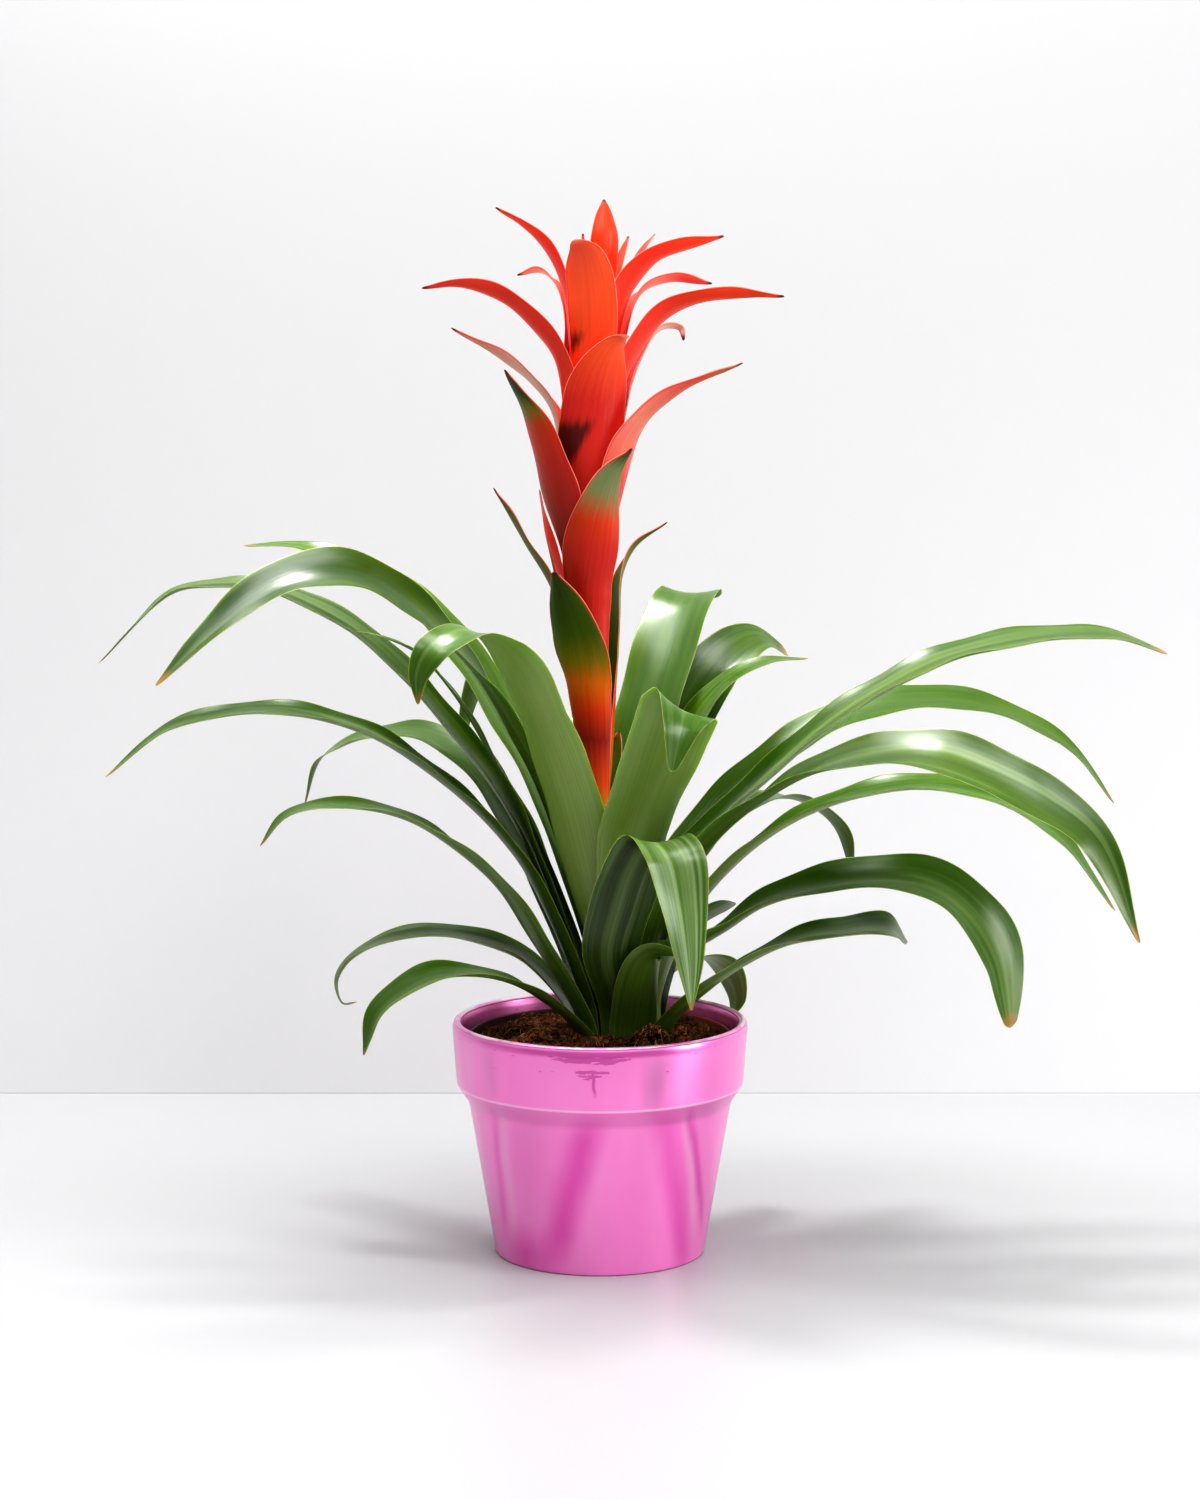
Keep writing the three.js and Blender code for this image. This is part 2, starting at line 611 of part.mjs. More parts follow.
// The stem: a cone that carries the leaf bases, and the scape with a ring of points at every step, so
// that it can follow the lean and the bow
function flowerStem() {
  const profile = [
    [0, STEM_BASE_HEIGHT],
    [STEM_BASE_RADIUS - 2, STEM_BASE_HEIGHT],
    [STEM_BASE_RADIUS, STEM_CONE_FOOT],
    [STEM_CONE_TOP_RADIUS, STEM_CONE_TOP],
    [STEM_NECK_RADIUS, STEM_NECK_HEIGHT],
    [STEM_TAPER_RADIUS, STEM_TAPER_HEIGHT],
  ];
  for (let z = SCAPE_BRACT_HEIGHT; z < SCAPE_TOP_HEIGHT - SCAPE_RING_SPACING / 2; z += SCAPE_RING_SPACING) {
    profile.push([SCAPE_RADIUS, z]);
  }
  profile.push(
    [SCAPE_RADIUS, SCAPE_TOP_HEIGHT - SCAPE_TOP_CHAMFER],
    [SCAPE_RADIUS - SCAPE_TOP_CHAMFER, SCAPE_TOP_HEIGHT],
    [0, SCAPE_TOP_HEIGHT],
  );
  return leant(turned(profile, STEM_SIDES));
}

// A leaf's base stands just clear of the stem's cone: the height where the cone under its inner face
// and the leaf's own cone meet
function rootHeight(layerRadius, slope) {
  const steepness = (STEM_CONE_TOP - STEM_CONE_FOOT) / (STEM_BASE_RADIUS - STEM_CONE_TOP_RADIUS);
  const inset = STEM_BASE_RADIUS - layerRadius + LEAF_THICKNESS / 2 + slope * FLARE_HEIGHT;
  return (STEM_CONE_FOOT + CLEARANCE + steepness * inset) / (1 + steepness * slope);
}

function leaf({
  layer, path, end = TIP_WIDTH, roll = 0, narrows = 0.45, power = 2.2, channel = [0.75, 0.3],
  neck = LEAF_NECK, ...rest
}) {
  const layerRadius = LEAF_LAYER_RADIUS + LEAF_LAYER_PITCH * layer;
  const slope = layerRadius * LEAF_FLARE;
  const root = rootHeight(layerRadius, slope);
  const leaves = LEAF_DEPARTURE_OUTER + LEAF_DEPARTURE_STEP * (LEAF_LAYERS - 1 - layer);
  return bladeGeometry({
    ...rest, path, end, roll, narrows, power, channel, neck, root, leaves, slope, hugs: 0,
    rootRadius: layerRadius + slope * (root - FLARE_HEIGHT),
    clasp: LEAF_CLASP, thickness: LEAF_THICKNESS, unwrap: LEAF_UNWRAP,
    strips: LEAF_STRIPS, steps: path.length + 3,
  });
}

function bract({
  end = TIP_WIDTH, roll = 0, narrows = 0.08, power = 1.35, channel = [0.7, 0.5], slope = BRACT_SLOPE,
  steps = BRACT_STEPS, ...rest
}) {
  return bladeGeometry({
    ...rest, end, roll, narrows, power, channel, slope, steps, neck: 1, hugs: 1,
    rootRadius: BRACT_ROOT_RADIUS, clasp: BRACT_CLASP, thickness: BRACT_THICKNESS,
    unwrap: BRACT_UNWRAP, strips: BRACT_STRIPS,
  });
}

const group = new THREE.Group();

function add(name, geometry, finish) {
  geometry.computeVertexNormals();
  const mesh = new THREE.Mesh(geometry, finish);
  mesh.name = name;
  group.add(mesh);
}

const numbered = (name, i) => `${name}_${String(i + 1).padStart(2, '0')}`;

add('cover_pot', coverPot(), glaze);
add('nursery_pot', nurseryPot(), terracottaPlastic);
add('soil', soil(), peat);
add('flower_stem', flowerStem(), stemGreen);
LEAVES.forEach((spec, i) => add(numbered('leaf', i), leaf(spec), leafGreen));
BRACTS.forEach((spec, i) => add(numbered('bract', i), bract(spec), bractRed));

export default group;
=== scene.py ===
# %% [markdown]
# A potted guzmania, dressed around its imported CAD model.
# The plant is a bromeliad: a rosette of glossy strap leaves, and from its middle a tall head of coloured
# bracts. It grows in dark peat, in a plastic nursery pot that stands inside a glazed pink cover pot.
# The CAD model gives every piece its place and size. This script loads it first and changes none of it.
# Each leaf and bract is made again here as a smooth sheet on the same curve, because the CAD ones have
# few faces. The shapes are worked out in millimetres and become metres when a mesh is made.

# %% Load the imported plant
import math

import bpy
import numpy as np
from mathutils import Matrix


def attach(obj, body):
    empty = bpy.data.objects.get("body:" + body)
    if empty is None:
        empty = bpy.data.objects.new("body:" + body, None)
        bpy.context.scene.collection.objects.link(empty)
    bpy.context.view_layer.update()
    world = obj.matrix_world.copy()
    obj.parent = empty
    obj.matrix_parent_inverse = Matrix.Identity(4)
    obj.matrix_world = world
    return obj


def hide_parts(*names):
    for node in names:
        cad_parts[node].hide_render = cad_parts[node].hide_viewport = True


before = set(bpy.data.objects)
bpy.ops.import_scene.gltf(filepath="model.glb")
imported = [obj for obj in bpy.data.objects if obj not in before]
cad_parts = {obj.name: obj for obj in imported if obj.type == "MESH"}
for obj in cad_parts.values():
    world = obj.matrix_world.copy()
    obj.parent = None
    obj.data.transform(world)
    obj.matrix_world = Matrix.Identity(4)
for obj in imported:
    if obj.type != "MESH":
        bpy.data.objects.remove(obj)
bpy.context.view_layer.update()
MM = 0.001
BODY = "root"

# %% [markdown]
# The camera stands 1.65 m in front of the pot and a little below the top of the bracts. It looks
# slightly down with a short telephoto lens, so the pot's rim is a flat ellipse and the highest bracts
# are seen from below. The lens is given as the photograph's own focal length in pixels over its height.
# The Standard view transform shows colours plainly, and its High Contrast look deepens the greens.

# %% The camera
SENSOR = 36
PHOTO_HEIGHT_PIXELS = 1500
FOCAL_PIXELS = 3349
CAMERA_PLACE = (0.0, -1.650, 0.448)
CAMERA_PITCH = math.radians(6.73)

camera_data = bpy.data.cameras.new("camera")
camera_data.sensor_fit = "VERTICAL"
camera_data.sensor_height = SENSOR
camera_data.lens = SENSOR * FOCAL_PIXELS / PHOTO_HEIGHT_PIXELS
camera = bpy.data.objects.new("camera", camera_data)
camera.location = CAMERA_PLACE
camera.rotation_euler = (math.pi / 2 - CAMERA_PITCH, 0, 0)
bpy.context.scene.collection.objects.link(camera)
bpy.context.scene.camera = camera
bpy.context.scene.view_settings.view_transform = "Standard"
bpy.context.scene.view_settings.look = "High Contrast"
print("lens", round(camera_data.lens, 1), "mm")

# %% [markdown]
# Small helpers come next. Colours are written as 0 to 255, as a colour picker shows them, and a shader
# wants them linear. A mesh is made from arrays: points in millimetres, faces as lists of point numbers.


# %% Helpers for colours, easing and meshes
def tint(red, green, blue, alpha=1.0):
    """A picked colour as linear light: ((c + 0.055) / 1.055) to the power 2.4, or c / 12.92 if dark."""
    shares = np.array([red, green, blue]) / 255
    linear = np.where(shares > 0.04045, ((shares + 0.055) / 1.055) ** 2.4, shares / 12.92)
    return (*linear.tolist(), alpha)


def mix(first, second, share):
    """first where share is 0, second where it is 1, and a straight blend between them."""
    return first + (second - first) * share


def ease(low, high, x):
    """0 below low, 1 above high, and 3t² − 2t³ between them, with t the share of the way."""
    t = np.clip((x - low) / (high - low), 0, 1)
    return t * t * (3 - 2 * t)


def listed(values, share):
    """The value at each share of the way along a list of evenly spaced values."""
    return np.interp(share, np.linspace(0, 1, len(values)), values)


def unit(vectors):
    """Each vector over its own length."""
    return vectors / np.linalg.norm(vectors, axis=-1, keepdims=True)


def ripples(x, y, spacing, seed, waves=9):
    """Smooth lumps of about ±1: a sum of sine waves in random directions, all near the same spacing."""
    dice = np.random.default_rng(seed)
    heading = dice.uniform(0, 2 * np.pi, waves)
    number = 2 * np.pi / (spacing * dice.uniform(0.7, 1.4, waves))
    start = dice.uniform(0, 2 * np.pi, waves)
    phase = (np.multiply.outer(x, np.cos(heading) * number)
             + np.multiply.outer(y, np.sin(heading) * number) + start)
    return np.sin(phase).sum(-1) / math.sqrt(waves)


def new_piece(name, points, faces, material, replaces=()):
    """A smooth mesh object from points in millimetres, which rides with the plant."""
    mesh = bpy.data.meshes.new(name)
    mesh.from_pydata((np.asarray(points) * MM).tolist(), [], faces)
    mesh.polygons.foreach_set("use_smooth", np.ones(len(mesh.polygons), dtype=bool))
    mesh.materials.append(material)
    mesh.update()
    piece = bpy.data.objects.new(name, mesh)
    bpy.context.scene.collection.objects.link(piece)
    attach(piece, BODY)
    if replaces:
        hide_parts(*replaces)
    return piece


def give_values(piece, domain="POINT", **values):
    """Writes one named number for each point or face, which a material reads as an attribute."""
    for name, numbers in values.items():
        attribute = piece.data.attributes.new(name, "FLOAT", domain)
        attribute.data.foreach_set("value", np.asarray(numbers, dtype=np.float32).ravel())


# %% [markdown]
# Materials are node trees. Each one starts from the Principled shader, and these helpers add one node
# at a time, with its inputs given as plain values or as the outputs of other nodes.


# %% Helpers for materials
def wire(tree, kind, inputs=None, **settings):
    """One new node with its settings, each input set to a value or linked to another node's output."""
    node = tree.nodes.new("ShaderNode" + kind)
    for key, value in settings.items():
        setattr(node, key, value)
    for key, value in (inputs or {}).items():
        if isinstance(value, bpy.types.NodeSocket):
            tree.links.new(value, node.inputs[key])
        else:
            node.inputs[key].default_value = value
    return node


def new_material(name, **fixed):
    """A material, its tree and its Principled shader, with the shader's plain values set."""
    material = bpy.data.materials.new(name)
    material.use_nodes = True
    shader = material.node_tree.nodes["Principled BSDF"]
    for key, value in fixed.items():
        shader.inputs[key.replace("_", " ")].default_value = value
    return material, material.node_tree, shader


def attribute(tree, name):
    """A number that the mesh carries under this name."""
    return wire(tree, "Attribute", attribute_name=name).outputs["Fac"]


def noise(tree, place, stretch, detail=3.0, roughness=0.5, shift=(0, 0, 0)):
    """Cloudy noise from 0 to 1. stretch is how many clouds there are along each axis of place."""
    moved = wire(tree, "Mapping", {"Vector": place, "Scale": stretch, "Location": shift})
    made = wire(tree, "TexNoise", {
        "Vector": moved.outputs["Vector"], "Scale": 1.0, "Detail": detail, "Roughness": roughness})
    return made.outputs["Fac"]


def span(tree, value, low, high, start=0.0, end=1.0):
    """Start where value is low, end where it is high, eased between and flat outside."""
    return wire(tree, "MapRange", {
        "Value": value, "From Min": low, "From Max": high, "To Min": start, "To Max": end,
    }, interpolation_type="SMOOTHSTEP").outputs["Result"]


def calc(tree, operation, first, second=0.5, third=0.5):
    """One sum of numbers, such as ADD or MULTIPLY."""
    return wire(tree, "Math", {0: first, 1: second, 2: third}, operation=operation).outputs[0]


def blend(tree, share, first, second):
    """first where share is 0 and second where it is 1: two colours mixed by their share."""
    return wire(tree, "Mix", {0: share, 6: first, 7: second}, data_type="RGBA").outputs[2]


def layered(tree, base, layers):
    """A colour with others laid over it in turn. Each layer is a share from 0 to 1 and a colour."""
    for share, colour in layers:
        base = blend(tree, share, base, colour)
    return base


def product(tree, first, *others):
    """Numbers multiplied together, so a mask of several masks is 1 only where all of them are."""
    for other in others:
        first = calc(tree, "MULTIPLY", first, other)
    return first


def from_value(tree, value, middle):
    """How far a number is from a middle value, on either side."""
    return calc(tree, "ABSOLUTE", calc(tree, "SUBTRACT", value, middle))


def bands(tree, value, stops):
    """Colours along a value: stops lists (place, colour), and the colours blend between them."""
    node = wire(tree, "ValToRGB", {"Fac": value})
    ramp = node.color_ramp
    while len(ramp.elements) < len(stops):
        ramp.elements.new(1.0)
    for element, (place, colour) in zip(ramp.elements, stops):
        element.position = place
        element.color = colour
    return node.outputs["Color"]


def object_place(tree):
    """The place on the model in metres, which is the same for every piece."""
    return wire(tree, "TexCoord").outputs["Object"]


def axes(tree, place):
    """The x, y and z of a place, as three numbers."""
    return wire(tree, "SeparateXYZ", {0: place}).outputs


def bump(tree, shader, height, strength, distance=0.0005):
    """Low relief: the shading bends as if the surface rose by height times distance in metres."""
    node = wire(tree, "Bump", {"Height": height, "Strength": strength, "Distance": distance})
    tree.links.new(node.outputs["Normal"], shader.inputs["Normal"])


def let_light_through(shader, weight, reach):
    """A share of the light goes into the sheet and comes out up to 2 mm times reach away, by colour."""
    shader.inputs["Subsurface Weight"].default_value = weight
    shader.inputs["Subsurface Radius"].default_value = reach
    shader.inputs["Subsurface Scale"].default_value = 2 * MM


# %% [markdown]
# A blade is a leaf or a bract. At its root it clasps the plant's axis on a cone that opens upwards, then
# it leaves the cone and follows its own path, given as reach from the axis and height. Its section is an
# arc: wrapped round the axis on the cone, and a shallow channel on the free part. A curve with handles
# could be drawn for each one, but a formula keeps all forty-seven alike and keeps them clear of each
# other at the roots, where they nest. These are the same sizes as the CAD model's. The shifts at the
# end of the list give each blade waves and veins of its own.

# %% Sizes that every blade shares
PLANT_OFFSET = 12
LEAN_START = 100
LEAN_END = 230
BOW = 5
BOW_START = 230
BOW_END = 500

STEM_BASE_RADIUS = 26.5
STEM_CONE_FOOT = 90
STEM_CONE_TOP = 110
STEM_CONE_TOP_RADIUS = 6.6
CLEARANCE = 0.3

LEAF_THICKNESS = 0.7
LEAF_CLASP = math.radians(50)
LEAF_LAYER_RADIUS = 9.5
LEAF_LAYER_PITCH = 1.3
LEAF_LAYERS = 13
LEAF_FLARE = 0.004
FLARE_HEIGHT = 110
LEAF_DEPARTURE_OUTER = 113
LEAF_DEPARTURE_STEP = 3.2
LEAF_UNWRAP = 46
LEAF_NECK = 0.8

BRACT_THICKNESS = 0.62
BRACT_CLASP = math.radians(72)
BRACT_ROOT_RADIUS = 4.2
BRACT_SLOPE = 0.108
BRACT_UNWRAP = 30
HUG_START = 25
HUG_END = 60

TIP_WIDTH = 1.3
BEND_WEIGHT = 26
NECK_SHARE = 0.4
FINE_STEPS = 1200
TIP_ROWS = 8
TIP_THINNING = 3
WAVE_SHIFT = 1.7
OTHER_MARGIN_SHIFT = 2.1
TENTH_OF_METRE = 100
PATTERN_SHIFT = 3.7


def axis_offset(height):
    """How far the plant's axis stands to the right of the pot's at a height: it leans, then bows."""
    lean = PLANT_OFFSET * (1 - ease(LEAN_START, LEAN_END, height))
    along = np.clip((height - BOW_START) / (BOW_END - BOW_START), 0, 1)
    return lean - BOW * np.sin(np.pi * along)


# %% [markdown]
# The midrib is a smooth curve through the path's points. A centripetal Catmull-Rom curve passes through
# every point and makes no loops where points are close, so a leaf can turn sharply at its crest.


# %% The midrib
def curve_through(points, t):
    """Places and directions on a curve, with t from 0 at the first point to 1 at the last.

    Each span is a cubic. Its slope at a point comes from the points on both sides, weighed by the
    square roots of the distances to them.
    """
    ends = np.vstack([2 * points[0] - points[1], points, 2 * points[-1] - points[-2]])
    gaps = np.sqrt(np.linalg.norm(np.diff(ends, axis=0), axis=1))
    place = t * (len(points) - 1)
    cell = np.minimum(place.astype(int), len(points) - 2)
    s = (place - cell)[:, None]
    before, start, end, after = (ends[cell + k] for k in range(4))
    g0, g1, g2 = (gaps[cell + k][:, None] for k in range(3))
    leave = g1 * ((start - before) / g0 - (end - before) / (g0 + g1) + (end - start) / g1)
    arrive = g1 * ((end - start) / g1 - (after - start) / (g1 + g2) + (after - end) / g2)
    square = 3 * (end - start) - 2 * leave - arrive
    cube = 2 * (start - end) + leave + arrive
    point = start + leave * s + square * s**2 + cube * s**3
    return point, unit(leave + 2 * square * s + 3 * cube * s**2)


def midrib(blade, rows):
    """The rows' places along a blade, closer together where it bends and at its rounded tip."""
    azimuths = np.radians(blade["azimuth"])
    heights = np.array([blade["root"], (blade["root"] + blade["leaves"]) / 2, blade["leaves"]])
    radii = blade["root_radius"] + blade["slope"] * (heights - blade["root"])
    on_cone = np.stack([axis_offset(heights) + radii * np.cos(azimuths[0]),
                        radii * np.sin(azimuths[0]), heights], axis=1)
    reach, height = np.array(blade["path"], dtype=float).T
    turns = listed(azimuths, np.arange(1, len(reach) + 1) / len(reach))
    hug = blade["hugs"] * (1 - ease(HUG_START, HUG_END, reach))
    free_part = np.stack([hug * axis_offset(height) + reach * np.cos(turns),
                          reach * np.sin(turns), height], axis=1)
    points = np.vstack([on_cone, free_part])

    t = np.linspace(0, 1, FINE_STEPS + 1)
    place, direction = curve_through(points, t)
    travel = np.linalg.norm(np.diff(place, axis=0), axis=1)
    bend = np.arccos(np.clip((direction[1:] * direction[:-1]).sum(1), -1, 1))
    length = np.append(0, np.cumsum(travel))
    measure = np.append(0, np.cumsum(travel + BEND_WEIGHT * bend))
    total = length[-1]
    rounding = blade["end"] * blade["tip_round"]
    lengths = np.interp(np.linspace(0, measure[-1], rows), measure, length)
    main = lengths[lengths < total - rounding * 1.2]
    tip = total - rounding * (1 - np.sin(np.linspace(0, np.pi / 2, TIP_ROWS)))
    lengths = np.append(main, tip)
    t_rows = np.interp(lengths, length, t)
    place, direction = curve_through(points, t_rows)
    cone_length = np.interp(2 / (len(points) - 1), t, length)
    return {"t": t_rows, "length": lengths, "total": total, "cone": cone_length,
            "place": place, "direction": direction, "path_place": t_rows * (len(points) - 1) - 2,
            "azimuths": azimuths, "rounding": rounding}


# %% [markdown]
# The sheet is a grid. One number runs from the root to the tip, and the other from margin to margin over
# the upper face and back under the lower one, so the two faces share their margins and the sheet is
# closed. It is thickest at the midrib and thins to a soft edge, as a real leaf does. Real strap leaves
# also wave slightly along their margins, which fades in away from the clasping base.


# %% The sheet of a blade
def blade_sheet(blade, rows, columns, seed):
    """Points, faces and surface numbers of one blade, from its row of the tables."""
    rib = midrib(blade, rows)
    length, total, cone = rib["length"], rib["total"], rib["cone"]
    free = np.clip((length - cone) / (total - cone), 0, 1)
    clasp = 1 - ease(cone, cone + blade["unwrap"], length)
    turn = listed(rib["azimuths"], free)
    level = np.stack([-np.sin(turn), np.cos(turn), 0 * turn], axis=1)
    inward = np.stack([-np.cos(turn), -np.sin(turn), 0 * turn], axis=1)
    ahead = rib["direction"]
    side = unit(level - (level * ahead).sum(1, keepdims=True) * ahead)
    up = np.cross(ahead, side)
    spans = len(blade["path"])
    rolls = blade["roll"]
    if not isinstance(rolls, list):
        rolls = rolls * ease(0, 1, np.arange(1, spans + 1) / spans)
    roll = np.radians(listed([0, *rolls], np.maximum(0, rib["path_place"]) / spans))[:, None]
    across = unit(mix(side * np.cos(roll) + up * np.sin(roll), level, clasp[:, None]))
    facing = unit(mix(up * np.cos(roll) - side * np.sin(roll), inward, clasp[:, None]))

    height = np.minimum(rib["place"][:, 2], blade["leaves"])
    radius = blade["root_radius"] + blade["slope"] * (height - blade["root"])
    grown = blade["width"] * mix(blade["neck"], 1, ease(0, NECK_SHARE, free))
    full = np.minimum(2 * blade["clasp"] * radius + blade["width"] * (1 - clasp), grown)
    past = np.maximum(0, (free - blade["narrows"]) / (1 - blade["narrows"]))
    width = mix(full, blade["end"], past ** blade["power"])
    from_tip = np.clip((total - length) / rib["rounding"], 0, 1)
    half = width / 2 * np.sqrt(np.maximum(1 - (1 - from_tip) ** 2, 1e-4))
    bend = mix(mix(*blade["channel"], free), width / 2 / radius, clasp)

    steps = np.linspace(-1, 1, columns)
    share = np.sin(steps * np.pi / 2)
    loop = np.append(np.arange(columns), np.arange(columns - 2, 0, -1))
    face_side = np.append([0], np.append(np.ones(columns - 2), np.append([0], -np.ones(columns - 2))))
    s = share[loop][None, :]
    thinning = ease(0, TIP_THINNING, total - length)[:, None]
    swell = face_side[None, :] * blade["thickness"] / 2 * np.sqrt(1 - s**4) * thinning
    angle = bend[:, None] * s
    arc = (half / bend)[:, None]
    phase = seed * WAVE_SHIFT + np.where(s > 0, OTHER_MARGIN_SHIFT, 0)
    wave = blade["wave"] * s**2 * np.sin(2 * np.pi * length[:, None] / blade["wave_length"] + phase)
    wave = wave * (ease(0.1, 0.4, free) * (1 - ease(0.85, 1, free)))[:, None]
    points = (rib["place"][:, None, :]
              + across[:, None, :] * ((arc - swell) * np.sin(angle))[..., None]
              + facing[:, None, :] * (arc - (arc - swell) * np.cos(angle) + wave)[..., None])

    count = len(length)
    around = len(loop)
    number = np.arange(count * around).reshape(count, around)
    beside = np.roll(number, -1, axis=1)
    quads = np.stack([number[:-1], number[1:], beside[1:], beside[:-1]], axis=-1).reshape(-1, 4)
    tops = np.arange(columns)
    below = (around - tops) % around
    root_cap = [[tops[i], tops[i + 1], below[i + 1], below[i]] for i in range(1, columns - 2)]
    root_cap += [[0, 1, below[1]], [columns - 2, columns - 1, below[columns - 2]]]
    tip_cap = [[(count - 1) * around + k for k in reversed(cap)] for cap in root_cap]
    faces = quads.tolist() + [[int(k) for k in cap] for cap in root_cap + tip_cap]
    is_upper = np.tile(np.arange(around) < columns - 1, count - 1)
    along = np.broadcast_to(length[:, None], (count, around))
    return {
        "points": points.reshape(-1, 3), "faces": faces,
        "upper": np.append(is_upper, np.full(2 * len(root_cap), 0.5)),
        "free": np.broadcast_to(free[:, None], (count, around)),
        "whole": along / total, "along": along,
        "margin": half[:, None] * (1 - np.abs(s)),
        "across": np.broadcast_to((s + 1) / 2, (count, around)),
    }


def blade_piece(name, node, blade, rows, columns, seed, material):
    """One blade as a piece. Its UV map runs across the blade, and along it in tenths of a metre."""
    sheet = blade_sheet(blade, rows, columns, seed)
    piece = new_piece(name, sheet["points"], sheet["faces"], material, [node])
    give_values(piece, free=sheet["free"], whole=sheet["whole"], margin=sheet["margin"])
    give_values(piece, "FACE", upper=sheet["upper"])
    mesh = piece.data
    corner = np.zeros(len(mesh.loops), dtype=np.int32)
    mesh.loops.foreach_get("vertex_index", corner)
    along = sheet["along"].ravel() / TENTH_OF_METRE + PATTERN_SHIFT * seed
    spread = np.stack([sheet["across"].ravel(), along], axis=1)
    mesh.uv_layers.new(name="along_the_blade").data.foreach_set("uv", spread[corner].ravel())
    return piece


# %% [markdown]
# Guzmania leaves are leathery and glossy, dark to mid green, with many fine parallel veins that draw
# together at the tip. The upper face is darker and shinier than the lower one, which has a greyish
# bloom. The margins are pale, and worn brown in places, and old leaves have dry tips. Veins could be
# modelled, but they are finer than a tenth of a millimetre, so they are noise stretched along the blade,
# which also bends the shading. Broad pale streaks along every blade are painted sheen. No two leaves
# have the same green, so each mesh carries how much paler or darker its faces are, and on two leaves
# this also paints shade and sheen. A little light passes through the sheet, and shaded leaves glow
# yellow-green.

# %% The leaf colours
UPPER_GREEN = tint(62, 98, 6)
LOWER_GREEN = tint(80, 106, 20)
ROOT_GREEN = tint(66, 98, 6)
PALER_GREEN = tint(158, 178, 96)
DARKER_GREEN = tint(28, 56, 0)
RIB_GREEN = tint(120, 146, 44)
VEIN_GREEN = tint(20, 50, 2)
CLOUD_GREEN = tint(130, 150, 30)
# Painted sheen: broad pale streaks along every blade, on both faces
SHEEN_STREAK_GREEN = tint(148, 172, 110)
# Painted highlight: pale streaks on leaf 9's upper face
GLARE_STREAK_GREEN = tint(190, 204, 178)
BLOOM_GREY = tint(170, 186, 150)
MARGIN_GREEN = tint(176, 190, 112)
WORN_MARGIN = tint(128, 96, 44)
DRY_TIP = tint(150, 112, 48)
print("leaf colours ready")


# %% The leaf material
def leaf_material(name):
    """Veined leaf green. The masks are noises and the numbers that each leaf's mesh carries."""
    material, tree, shader = new_material(name, Roughness=0.3, Specular_IOR_Level=0.6)
    across = wire(tree, "UVMap", uv_map="along_the_blade").outputs["UV"]
    veins = noise(tree, across, (46, 0.5, 1), 2.0)
    streaks = noise(tree, across, (4, 0.3, 1), 2.0, shift=(5, 3, 0))
    ribs = noise(tree, across, (9, 0.35, 1), 2.0, shift=(3, 1, 0))
    clouds = noise(tree, across, (1.4, 1.1, 1), 3.0, shift=(7, 4, 0))
    edge_wear = noise(tree, across, (1.0, 9, 1), 2.0, shift=(0, 2, 0))
    free, margin, face, below, above, worn, dry = (
        attribute(tree, given) for given in ("free", "margin", "upper", "below", "above", "worn", "dry"))

    # How much paler or darker each face is; on leaves 9 and 21 this also paints shade and sheen
    tone = calc(tree, "MULTIPLY_ADD", face, calc(tree, "SUBTRACT", above, below), below)
    bloom = product(tree, calc(tree, "SUBTRACT", 1.0, face), 0.12, span(tree, veins, 0.55, 0.3))
    worn_margin = product(tree, span(tree, margin, 0.7, 0.25), span(tree, edge_wear, 0.4, 0.62), 0.5)
    ragged_end = calc(tree, "MULTIPLY_ADD", clouds, 0.03, free)
    colour = layered(tree, blend(tree, face, LOWER_GREEN, UPPER_GREEN), [
        (span(tree, tone, 0.0, 1.0), PALER_GREEN),
        (span(tree, tone, 0.0, -1.0), DARKER_GREEN),
        (span(tree, free, 0.0, 0.3, 0.55, 0.0), ROOT_GREEN),
        (span(tree, ribs, 0.35, 0.7, 0.0, 0.14), RIB_GREEN),
        (span(tree, veins, 0.3, 0.7, 0.0, 0.12), VEIN_GREEN),
        (span(tree, clouds, 0.45, 0.75, 0.0, 0.18), CLOUD_GREEN),
        # Painted sheen in broad pale streaks along the blade
        (span(tree, streaks, 0.5, 0.72, 0.0, 0.3), SHEEN_STREAK_GREEN),
        # Painted highlight streaks on the upper face of leaf 9
        (product(tree, worn, face, free, span(tree, ribs, 0.35, 0.75, 0.0, 0.5)), GLARE_STREAK_GREEN),
        (bloom, BLOOM_GREY),
        (span(tree, margin, 0.5, 0.2, 0.0, 0.45), MARGIN_GREEN),
        (worn_margin, WORN_MARGIN),
        (product(tree, span(tree, ragged_end, 0.985, 1.01), dry), DRY_TIP),
    ])
    tree.links.new(colour, shader.inputs["Base Color"])
    let_light_through(shader, 0.3, (0.6, 1.0, 0.2))
    gloss = calc(tree, "MULTIPLY_ADD", clouds, 0.06, span(tree, face, 0.0, 1.0, 0.34, 0.26))
    tree.links.new(gloss, shader.inputs["Roughness"])
    relief = calc(tree, "ADD", calc(tree, "MULTIPLY", ribs, 1.6), calc(tree, "MULTIPLY", veins, 0.5))
    bump(tree, shader, relief, 0.12, 0.0006)
    return material


LEAF_GREEN = leaf_material("leaf_green")
print("leaf material ready")

# %% [markdown]
# The leaves, outermost first. azimuth is in degrees, from the root to the tip, as values evenly spaced
# along the path: 0 points along +X and 270 towards the camera. layer counts the nested cones outwards
# from the centre. path lists the midrib after it leaves the cone, as reach from the axis and height.
# roll turns the blade about its midrib. narrows is where it starts to taper, end is the width of a
# trimmed tip, and channel is how far it is folded up.

